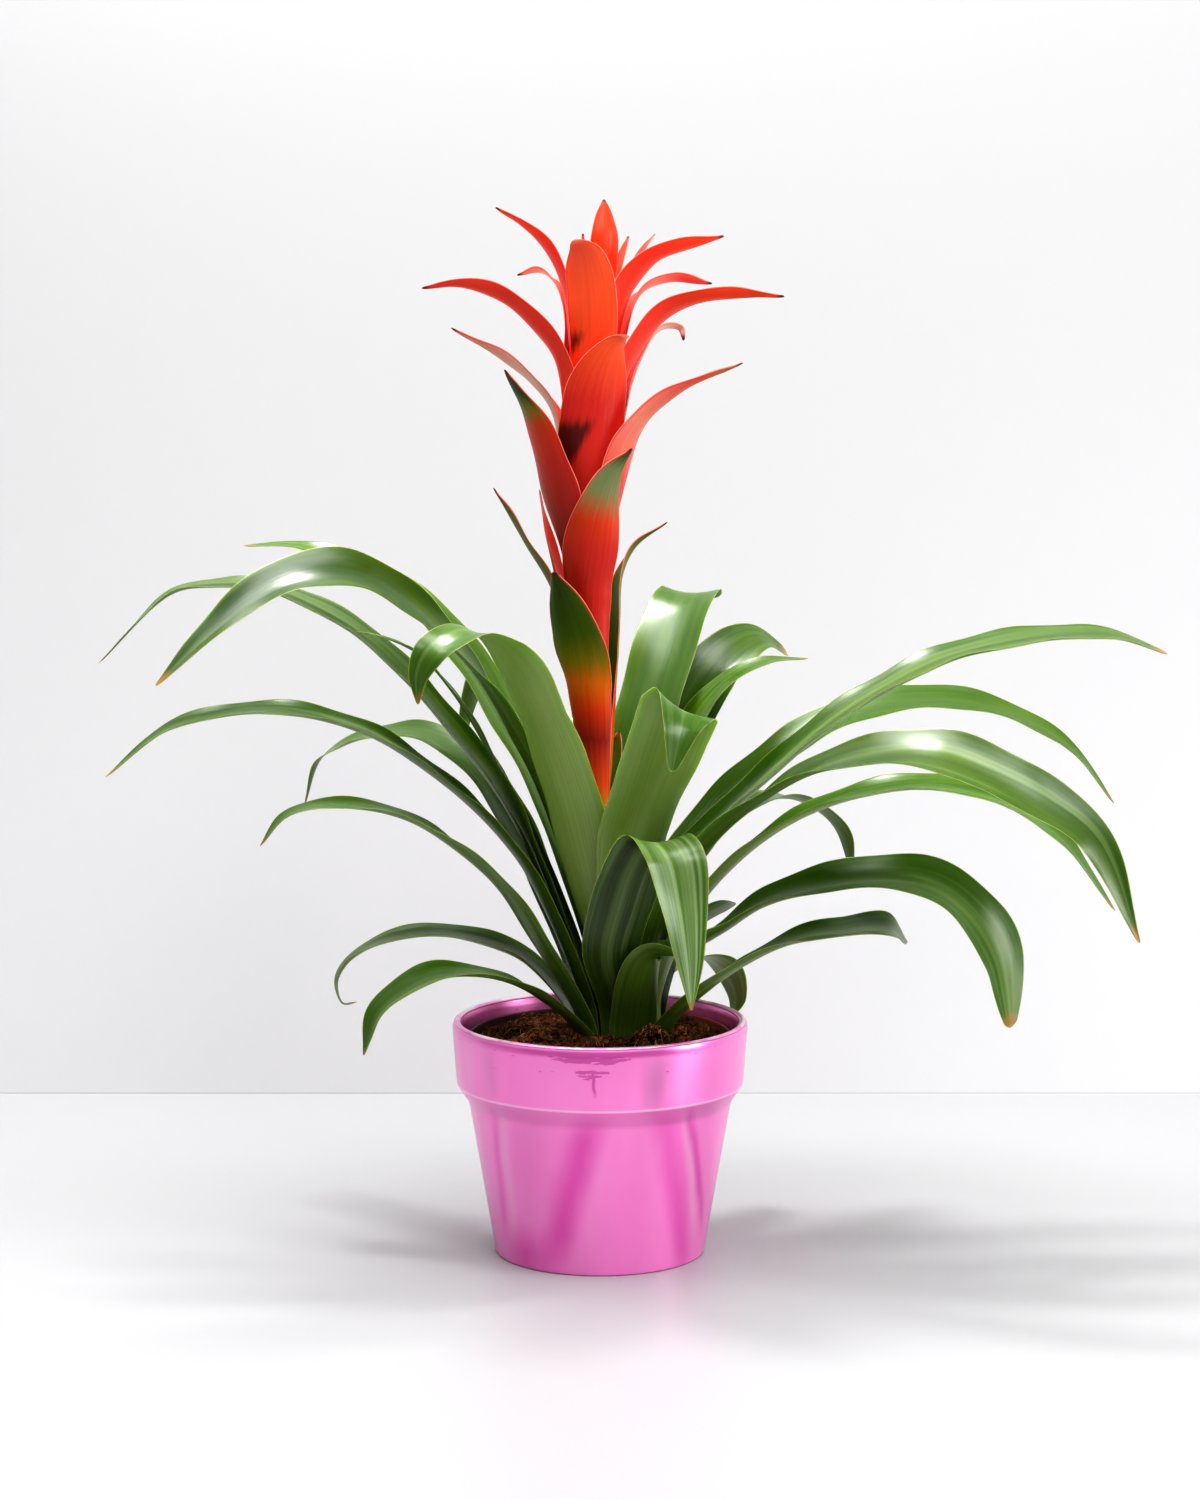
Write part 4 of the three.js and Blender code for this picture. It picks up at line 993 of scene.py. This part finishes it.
# Each stripe is painted light, dark ones reflections and pale ones highlights: tone, strength, middle at
# its foot in degrees from the front, lean in degrees for each millimetre up, half width in degrees,
# lowest height and highest height
REFLECTION_STRIPES = [
    (REFLECTED_MAGENTA, 0.75, -24, 0.27, 13, 10, 80),
    (REFLECTED_PLUM, 0.12, -36, 0.08, 14, 20, 80),
    (PALE_GLAZE_AND_HIGHLIGHT, 0.6, -52, 0.12, 6, 14, 80),
    (REFLECTED_MAGENTA, 0.35, -60, 0.16, 5, 20, 80),
    (REFLECTED_MAGENTA, 0.75, -40, 0.0, 24, 0, 18),
    (REFLECTED_MAGENTA, 0.6, 52, -0.29, 12, 0, 84),
    (PALE_GLAZE_AND_HIGHLIGHT, 0.6, 58, -0.3, 5, 20, 84),
    (REFLECTED_MAGENTA, 0.7, 67, -0.43, 5, 20, 84),
    (REFLECTED_PLUM, 0.65, 21, 0.06, 9, 86, 112),
    (PALE_GLAZE_AND_HIGHLIGHT, 0.2, 34, 0.0, 8, 86, 114),
    (REFLECTED_PLUM, 0.3, -46, 0.0, 6, 86, 114),
    (PALE_GLAZE_AND_HIGHLIGHT, 0.35, -60, 0.0, 8, 86, 114),
    (REFLECTED_PLUM, 0.25, 48, 0.0, 22, 86, 114),
    (REFLECTED_PLUM, 0.35, -86, 0.0, 14, 0, 114),
    (REFLECTED_PLUM, 0.35, 88, 0.0, 16, 0, 114),
]
GLAZE = lustre_glaze()
print(len(REFLECTION_STRIPES), "soft stripes in the glaze")

# %% Make the cover pot
pot_profile = rounded([
    [0, 1.0, 0],
    [FOOT_RADIUS - 7, 1.0, 0.8],
    [FOOT_RADIUS - 5, 0, 0.8],
    [FOOT_RADIUS - 0.5, 0, 1.2],
    [BODY_TOP_RADIUS - 0.6, BODY_TOP_HEIGHT - 3.6, 1.6],
    [RIM_BAND_FOOT_RADIUS, RIM_BAND_FOOT_HEIGHT - 0.8, 1.0],
    [RIM_RADIUS, POT_HEIGHT - 2.6, 2.0],
    [RIM_RADIUS - 1.2, POT_HEIGHT, 1.2],
    [RIM_RADIUS - 3.8, POT_HEIGHT, 1.2],
    [RIM_RADIUS - POT_WALL, POT_HEIGHT - 2.6, 2.0],
    [RIM_BAND_FOOT_RADIUS - POT_WALL, RIM_BAND_FOOT_HEIGHT, 2.0],
    [BODY_TOP_RADIUS - POT_WALL, BODY_TOP_HEIGHT, 2.0],
    [FOOT_RADIUS - POT_WALL, POT_FLOOR, 3.0],
    [0, POT_FLOOR, 0],
])
cover_points, cover_faces = turned(pot_profile)
new_piece("glazed_cover_pot", cover_points, cover_faces, GLAZE, ["cover_pot"])
print("cover pot", len(cover_faces), "faces")

# %% [markdown]
# The nursery pot is thin blow-moulded plastic in matt terracotta. Only its top edge shows, inside the
# cover pot on the right, and its colour turns nearly black-brown towards the left. It is turned in the
# same way, with a small rolled edge for stiffness, and its drain holes are left to the CAD model, where
# nobody sees them.

# %% Make the nursery pot
plastic, plastic_tree, plastic_shader = new_material("terracotta_plastic", Roughness=0.55)
plastic_place = object_place(plastic_tree)
scuffs = noise(plastic_tree, plastic_place, (90, 90, 140), 4.0)
dust = noise(plastic_tree, plastic_place, (14, 14, 30), 3.0, shift=(5, 0, 0))
TERRACOTTA = tint(170, 86, 58)
SCUFFED_PLASTIC = tint(132, 62, 42)
PEAT_DUST = tint(58, 36, 24)
DARKER_LEFT_BROWN = tint(52, 30, 20)
plastic_colour = layered(plastic_tree, TERRACOTTA, [
    (span(plastic_tree, scuffs, 0.4, 0.7, 0.0, 0.5), SCUFFED_PLASTIC),
    (span(plastic_tree, dust, 0.5, 0.7, 0.0, 0.6), PEAT_DUST),
    # Darker towards the left, nearly black-brown
    (span(plastic_tree, axes(plastic_tree, plastic_place)[0], 10 * MM, -20 * MM, 0.0, 0.9), DARKER_LEFT_BROWN),
])
plastic_tree.links.new(plastic_colour, plastic_shader.inputs["Base Color"])
bump(plastic_tree, plastic_shader, scuffs, 0.2)

nursery_profile = rounded([
    [0, NURSERY_FLOOR_HEIGHT, 0],
    [NURSERY_FOOT_RADIUS, NURSERY_FLOOR_HEIGHT, 2.0],
    [NURSERY_TOP_RADIUS - 0.9, NURSERY_TOP_HEIGHT - 4.0, 0.5],
    [NURSERY_TOP_RADIUS, NURSERY_TOP_HEIGHT - 3.4, 0.4],
    [NURSERY_TOP_RADIUS, NURSERY_TOP_HEIGHT, 0.5],
    [NURSERY_TOP_RADIUS - 1.4, NURSERY_TOP_HEIGHT, 0.5],
    [NURSERY_TOP_RADIUS - 1.8, NURSERY_TOP_HEIGHT - 4.0, 0.5],
    [NURSERY_FOOT_RADIUS - NURSERY_WALL, NURSERY_FLOOR_HEIGHT + NURSERY_WALL, 2.0],
    [0, NURSERY_FLOOR_HEIGHT + NURSERY_WALL, 0],
], steps=5)
nursery_points, nursery_faces = turned(nursery_profile)
new_piece("plastic_nursery_pot", nursery_points, nursery_faces, plastic,
          ["nursery_pot"])
print("nursery pot", len(nursery_faces), "faces")

# %% [markdown]
# The soil is damp peat with coir: red-brown where it is lit, rough at every scale. Shade is painted
# nearly black into the hollows of its fine grain and light onto its raised grains, to go with their
# bump. A displaced plane could stand for it, but it would show its edge. Here it is a turned body that
# fills the nursery pot. Its top is a surface of height over angle and radius, with lumps from sums of
# sine waves, and loose crumbs and fibres lie on it as pieces of their own.

# %% The peat material
peat, peat_tree, peat_shader = new_material("damp_peat", Roughness=0.85, Specular_IOR_Level=0.25)
peat_place = object_place(peat_tree)
grain = noise(peat_tree, peat_place, (900, 900, 900), 5.0, 0.65)
patches = noise(peat_tree, peat_place, (60, 60, 60), 3.0, shift=(3, 0, 0))
DARK_PEAT = tint(60, 38, 24)
BROWN_PEAT = tint(140, 86, 54)
LIT_GRAIN = tint(206, 140, 90)
# Painted shade: nearly black in the hollows of the fine grain
SHADED_GRAIN_HOLLOW = tint(16, 10, 7)
peat_colour = layered(peat_tree, DARK_PEAT, [
    (span(peat_tree, patches, 0.35, 0.7), BROWN_PEAT),
    (span(peat_tree, grain, 0.52, 0.75, 0.0, 0.7), LIT_GRAIN),
    # Painted shade in the grain's hollows
    (span(peat_tree, grain, 0.48, 0.3, 0.0, 0.85), SHADED_GRAIN_HOLLOW),
])
peat_tree.links.new(peat_colour, peat_shader.inputs["Base Color"])
bump(peat_tree, peat_shader, grain, 0.9, 0.0012)
print("peat material ready")

# %% Make the soil's surface
SOIL_EDGE_HEIGHT = 107
SOIL_SHOULDER_RADIUS = 51
SOIL_SHOULDER_HEIGHT = 109
SOIL_CROWN_RADIUS = 40
SOIL_CROWN_HEIGHT = 110
SOIL_MOUND_HEIGHT = 112
SOIL_HOLE_FLOOR = 86
BUNDLE_RADIUS = 27.8
SOIL_WALL = NURSERY_WALL + CLEARANCE
POT_TAPER = (NURSERY_TOP_RADIUS - NURSERY_FOOT_RADIUS) / (NURSERY_TOP_HEIGHT - NURSERY_FLOOR_HEIGHT)
SOIL_EDGE_RADIUS = NURSERY_TOP_RADIUS - SOIL_WALL - POT_TAPER * (NURSERY_TOP_HEIGHT - SOIL_EDGE_HEIGHT)
SOIL_HOLE_RADIUS = BUNDLE_RADIUS + CLEARANCE
SOIL_HOLE_WALL_RADIUS = SOIL_HOLE_RADIUS - 6
SOIL_FOOT_RADIUS = NURSERY_FOOT_RADIUS - SOIL_WALL
SOIL_FLOOR_HEIGHT = NURSERY_FLOOR_HEIGHT + SOIL_WALL
SOIL_RINGS = 70
# Each heap of crumbs: x, y, height and radius
HEAPS = [(16, -36, 10, 15), (34, -26, 8, 13), (-8, -38, 4, 10), (-36, -24, 6, 15), (-48, -4, 4, 12)]


def soil_height(x, y):
    """The soil's height: it rises from the edge to the plant, with large lumps and a finer crumb."""
    radius = np.hypot(x, y)
    level = np.interp(radius, [SOIL_HOLE_RADIUS, SOIL_CROWN_RADIUS, SOIL_SHOULDER_RADIUS, SOIL_EDGE_RADIUS],
                      [SOIL_MOUND_HEIGHT, SOIL_CROWN_HEIGHT, SOIL_SHOULDER_HEIGHT, SOIL_EDGE_HEIGHT])
    inside = ease(SOIL_EDGE_RADIUS, SOIL_EDGE_RADIUS - 5, radius)
    coarse = 1.3 * ripples(x, y, spacing=24, seed=5)
    medium = 0.8 * ripples(x, y, spacing=8, seed=6)
    fine = 0.45 * ripples(x, y, spacing=3, seed=7, waves=14)
    return level + inside * (coarse + np.abs(medium) + fine) - 0.4


def heap_height(x, y):
    """How high loose crumbs are heaped on the soil: round hills against the leaf roots."""
    hills = [height * np.maximum(0, 1 - ((x - cx) ** 2 + (y - cy) ** 2) / wide**2)
             for cx, cy, height, wide in HEAPS]
    return np.max(hills, axis=0)


def shift_to_plant(radius):
    """How far a ring of the soil stands to the right: with the plant at its hole, and 0 at its edge."""
    return PLANT_OFFSET * (1 - ease(SOIL_HOLE_RADIUS, SOIL_EDGE_RADIUS, radius))


soil_radii = np.linspace(SOIL_EDGE_RADIUS - 0.05, SOIL_HOLE_WALL_RADIUS, SOIL_RINGS)
soil_profile = np.vstack([
    [[0, SOIL_FLOOR_HEIGHT], [SOIL_FOOT_RADIUS, SOIL_FLOOR_HEIGHT]],
    np.stack([soil_radii, np.full(SOIL_RINGS, SOIL_EDGE_HEIGHT)], axis=1),
    [[SOIL_HOLE_WALL_RADIUS, SOIL_HOLE_FLOOR], [0, SOIL_HOLE_FLOOR]],
])
soil_points, soil_faces = turned(soil_profile)
top = slice(POT_SEGMENTS, POT_SEGMENTS * (SOIL_RINGS + 1))
x, y = soil_points[top, 0], soil_points[top, 1]
soil_points[top, 2] = soil_height(x, y)
soil_points[top, 0] += shift_to_plant(np.hypot(x, y))
hole = slice(POT_SEGMENTS * (SOIL_RINGS + 1), POT_SEGMENTS * (SOIL_RINGS + 2))
soil_points[hole, 0] += PLANT_OFFSET
soil_points[-1, 0] += PLANT_OFFSET
new_piece("peat_soil", soil_points, soil_faces, peat, ["soil"])
print("soil from", SOIL_EDGE_HEIGHT, "mm at its edge to", round(float(soil_points[top, 2].max()), 1), "mm")

# %% [markdown]
# The crumbs are small lumps of peat of many sizes. One lump is an icosahedron with its corners pushed in
# and out at random, and thousands of copies are scattered and squashed in one array. Where the photo
# shows clumps against the leaf bases, the crumbs are larger and lie in low round heaps.


# %% Scatter the crumbs
def icosahedron():
    """The 12 corners and 20 faces of an icosahedron of radius 1, from the golden ratio."""
    golden = (1 + math.sqrt(5)) / 2
    corners = np.array([[-1, golden, 0], [1, golden, 0], [-1, -golden, 0], [1, -golden, 0],
                        [0, -1, golden], [0, 1, golden], [0, -1, -golden], [0, 1, -golden],
                        [golden, 0, -1], [golden, 0, 1], [-golden, 0, -1], [-golden, 0, 1]])
    faces = np.array([[0, 11, 5], [0, 5, 1], [0, 1, 7], [0, 7, 10], [0, 10, 11],
                      [1, 5, 9], [5, 11, 4], [11, 10, 2], [10, 7, 6], [7, 1, 8],
                      [3, 9, 4], [3, 4, 2], [3, 2, 6], [3, 6, 8], [3, 8, 9],
                      [4, 9, 5], [2, 4, 11], [6, 2, 10], [8, 6, 7], [9, 8, 1]])
    return unit(corners), faces


CRUMBS = 4200
CRUMB_LIMIT_RADIUS = 61
SMALLEST_CRUMB = 0.35
CRUMB_RANGE = 1.5
HEAP_GROWTH = 0.12
dice = np.random.default_rng(21)
corner_points, corner_faces = icosahedron()
crumb_turn = dice.uniform(0, 2 * np.pi, CRUMBS)
crumb_reach = np.sqrt(dice.uniform((SOIL_HOLE_RADIUS - 5) ** 2, CRUMB_LIMIT_RADIUS**2, CRUMBS))
crumb_size = SMALLEST_CRUMB + CRUMB_RANGE * dice.uniform(0, 1, CRUMBS) ** 3.2
flat_x, flat_y = crumb_reach * np.cos(crumb_turn), crumb_reach * np.sin(crumb_turn)
heaped = dice.uniform(0.2, 1, CRUMBS) * heap_height(flat_x, flat_y)
crumb_size = crumb_size * (1 + HEAP_GROWTH * heaped)
crumb_z = soil_height(flat_x, flat_y) + 0.25 * crumb_size + heaped
crumb_x = flat_x + shift_to_plant(crumb_reach)
squash = dice.uniform(0.55, 1.2, (CRUMBS, 1, 3))
knobs = dice.uniform(0.7, 1.25, (CRUMBS, len(corner_points), 1))
crumb_points = corner_points[None] * knobs * squash * crumb_size[:, None, None]
crumb_points += np.stack([crumb_x, flat_y, crumb_z], axis=1)[:, None, :]
first_corners = len(corner_points) * np.arange(CRUMBS)[:, None, None]
crumb_faces = (corner_faces[None] + first_corners).reshape(-1, 3)
new_piece("peat_crumbs", crumb_points.reshape(-1, 3), crumb_faces.tolist(), peat)
print(CRUMBS, "crumbs of", round(float(crumb_size.min()), 2), "to", round(float(crumb_size.max()), 2), "mm")

# %% [markdown]
# Coir fibres and fine roots lie over the peat, golden brown and curled. Each one is a thin triangular
# tube along a gently bent line, with a few points and few faces, because there are hundreds.


# %% Lay the fibres
FIBRES = 700
FIBRE_POINTS = 9
FIBRE_LIMIT_RADIUS = 60
dice = np.random.default_rng(33)
fibre_start = dice.uniform(0, 2 * np.pi, FIBRES)
fibre_reach = np.sqrt(dice.uniform(SOIL_HOLE_RADIUS**2, FIBRE_LIMIT_RADIUS**2, FIBRES))
fibre_length = dice.uniform(3, 13, FIBRES)
heading = dice.uniform(0, 2 * np.pi, FIBRES)
curl = dice.normal(0, 1.1, FIBRES)
t = np.linspace(-0.5, 0.5, FIBRE_POINTS)[None, :]
way = heading[:, None] + curl[:, None] * t
line_x = (fibre_reach * np.cos(fibre_start))[:, None] + fibre_length[:, None] * t * np.cos(way)
line_y = (fibre_reach * np.sin(fibre_start))[:, None] + fibre_length[:, None] * t * np.sin(way)
line_r = np.hypot(line_x, line_y)
keep = np.minimum(1, FIBRE_LIMIT_RADIUS / line_r)
line_x, line_y, line_r = line_x * keep, line_y * keep, line_r * keep
arch = dice.uniform(0.3, 1.6, FIBRES)[:, None] * (1 - (2 * t) ** 2)
line_z = soil_height(line_x, line_y) + heap_height(line_x, line_y) + 0.3 + arch
line_x = line_x + shift_to_plant(line_r)
fibre_line = np.stack([line_x, line_y, line_z], axis=-1)
thick = dice.uniform(0.1, 0.24, FIBRES)[:, None, None] * (1 - 0.7 * np.abs(2 * t))[..., None]
sides = np.array([[1, 0, 0], [-0.5, 0.6, 0.6], [-0.5, -0.6, 0.6]])
fibre_points = fibre_line[:, :, None, :] + thick[:, :, None, :] * sides
number = np.arange(FIBRES * FIBRE_POINTS * 3).reshape(FIBRES, FIBRE_POINTS, 3)
beside = np.roll(number, -1, axis=2)
fibre_quads = np.stack([number[:, :-1], beside[:, :-1], beside[:, 1:], number[:, 1:]], axis=-1)
fibre_ends = number[:, 0, ::-1].reshape(-1, 3).tolist() + number[:, -1].reshape(-1, 3).tolist()

coir, coir_tree, coir_shader = new_material("coir_fibre", Roughness=0.7, Specular_IOR_Level=0.3)
coir_tone = noise(coir_tree, object_place(coir_tree), (120, 120, 120), 2.0)
BROWN_COIR = tint(110, 66, 38)
GOLDEN_COIR = tint(206, 152, 92)
coir_colour = blend(coir_tree, span(coir_tree, coir_tone, 0.35, 0.65), BROWN_COIR, GOLDEN_COIR)
coir_tree.links.new(coir_colour, coir_shader.inputs["Base Color"])
new_piece("coir_fibres", fibre_points.reshape(-1, 3), fibre_quads.reshape(-1, 4).tolist() + fibre_ends,
          coir)
print(FIBRES, "fibres")

# %% [markdown]
# The flower stem is seen only in the gaps between bracts. It keeps its CAD solid and gets a fibrous
# yellow-green skin, redder towards the top, from noise stretched along its height.

# %% The stem's skin
stem_skin, stem_tree, stem_shader = new_material("stem_skin", Roughness=0.5)
stem_place = object_place(stem_tree)
stem_threads = noise(stem_tree, stem_place, (700, 700, 20), 2.0)
STEM_GREEN = tint(126, 138, 60)
STEM_RED = tint(206, 84, 44)
STEM_THREAD = tint(84, 92, 34)
stem_colour = layered(stem_tree, STEM_GREEN, [
    (span(stem_tree, axes(stem_tree, stem_place)[2], 200 * MM, 340 * MM), STEM_RED),
    (span(stem_tree, stem_threads, 0.4, 0.7, 0.0, 0.5), STEM_THREAD),
])
stem_tree.links.new(stem_colour, stem_shader.inputs["Base Color"])
bump(stem_tree, stem_shader, stem_threads, 0.3)
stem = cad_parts["flower_stem"]
stem.data.materials.clear()
stem.data.materials.append(stem_skin)
print("stem keeps its CAD solid")

# %% [markdown]
# The room is white: a satin floor and a matt wall behind the pot. It is one sheet swept along X, with a
# bend of less than half a millimetre at the wall's foot, where a faint dark line of painted shade runs
# along the corner, as where a real table meets a wall. The wall's paint is a little lighter than the
# floor's and darkens upwards, because the light above falls on it more strongly there.

# %% The floor and the wall
WALL_BEHIND = 353
ROOM_HALF_WIDTH = 1000
FLOOR_FRONT = -430
WALL_TOP = 2600
COVE = 0.4
WALL_FADE_TOP = 650
LINE_FOOT = 1
LINE_TOP = 2
LINE_STRENGTH = 0.2
ROOM_GLOSS = 0.42
WALL_MATTNESS = 0.5
FLOOR_PAINT = tint(168, 168, 169)
LOW_WALL_PAINT = tint(208, 208, 209)
HIGH_WALL_PAINT = tint(186, 186, 187)
# Painted shade along the corner at the wall's foot
CORNER_SHADOW_GREY = tint(110, 110, 112)

white, white_tree, white_shader = new_material("satin_white", Roughness=ROOM_GLOSS, Specular_IOR_Level=0.4)
room_height = axes(white_tree, object_place(white_tree))[2]
up_wall = span(white_tree, room_height, 0.0, COVE * MM / 4)
wall_colour = layered(white_tree, LOW_WALL_PAINT, [
    (span(white_tree, room_height, 0.0, WALL_FADE_TOP * MM), HIGH_WALL_PAINT),
    # A faint painted shade along the corner at the wall's foot
    (span(white_tree, room_height, LINE_TOP * MM, LINE_FOOT * MM, 0.0, LINE_STRENGTH), CORNER_SHADOW_GREY),
])
room_colour = blend(white_tree, up_wall, FLOOR_PAINT, wall_colour)
room_gloss = calc(white_tree, "MULTIPLY_ADD", up_wall, WALL_MATTNESS, ROOM_GLOSS)
white_tree.links.new(room_gloss, white_shader.inputs["Roughness"])
white_tree.links.new(room_colour, white_shader.inputs["Base Color"])
bend = np.linspace(0, np.pi / 2, 9)
room_line = np.vstack([
    [[FLOOR_FRONT, 0]],
    np.stack([WALL_BEHIND - COVE + COVE * np.sin(bend), COVE - COVE * np.cos(bend)], axis=1),
    [[WALL_BEHIND, WALL_TOP]],
])
left = np.column_stack([np.full(len(room_line), -ROOM_HALF_WIDTH), room_line])
right = np.column_stack([np.full(len(room_line), ROOM_HALF_WIDTH), room_line])
number = np.arange(len(room_line))
to_right = len(number)
room_faces = np.stack([number[:-1], number[:-1] + to_right, number[1:] + to_right, number[1:]], axis=1)
room_mesh = bpy.data.meshes.new("room")
room_mesh.from_pydata((np.vstack([left, right]) * MM).tolist(), [], room_faces.tolist())
room_mesh.polygons.foreach_set("use_smooth", np.ones(len(room_mesh.polygons), dtype=bool))
room_mesh.materials.append(white)
room = bpy.data.objects.new("room", room_mesh)
bpy.context.scene.collection.objects.link(room)
print("the wall stands", WALL_BEHIND, "mm behind the pot's axis")

# %% [markdown]
# The light is soft and comes mostly from a long window above, which runs from the back left to the front
# right, so the leaves' upper faces shine white along it. A small bright pane above and behind throws
# the leaves' shadows on the floor. A softbox above the camera and a window at the right open the
# shadows, and a bright ceiling and grey surroundings fill the rest.


# %% The lights
def soft_light(name, place, aim, wide, high, watts):
    """A white rectangular light that looks from its place to a point. Places and sides are in metres."""
    light = bpy.data.lights.new(name, "AREA")
    light.shape = "RECTANGLE"
    light.size, light.size_y = wide, high
    light.energy = watts
    lamp = bpy.data.objects.new(name, light)
    lamp.location = place
    to_aim = np.array(aim) - np.array(place)
    flat = math.hypot(to_aim[0], to_aim[1])
    lamp.rotation_euler = (math.atan2(flat, -to_aim[2]), 0, math.atan2(-to_aim[0], to_aim[1]))
    bpy.context.scene.collection.objects.link(lamp)


FRONT_ROOM = 0.28
CEILING = 0.75
BACK_ROOM = 0.1
soft_light("window_above", (-0.1, -0.25, 1.5), (-0.035, -0.115, 0.2), 1.7, 0.55, 15.5)
soft_light("bright_pane", (-0.2, 0.25, 1.5), (0, 0, 0.2), 0.22, 0.22, 11)
soft_light("front_softbox", (0.5, -1.7, 1.75), (0, 0, 0.25), 1.1, 0.8, 13)
soft_light("side_window", (1.5, -0.5, 0.5), (0, 0, 0.2), 0.6, 0.8, 9)
world = bpy.data.worlds.new("white_room")
bpy.context.scene.world = world
world.use_nodes = True
sky = world.node_tree
_, backwards, upwards = axes(sky, wire(sky, "TexCoord").outputs["Generated"])
overhead = span(sky, upwards, 0.2, 0.9, FRONT_ROOM, CEILING)
behind = span(sky, backwards, 0.0, 0.9, 0.0, BACK_ROOM)
sky.links.new(calc(sky, "ADD", overhead, behind), sky.nodes["Background"].inputs["Strength"])
sky.nodes["Background"].inputs["Color"].default_value = (1, 1, 1, 1)
print("lights ready")
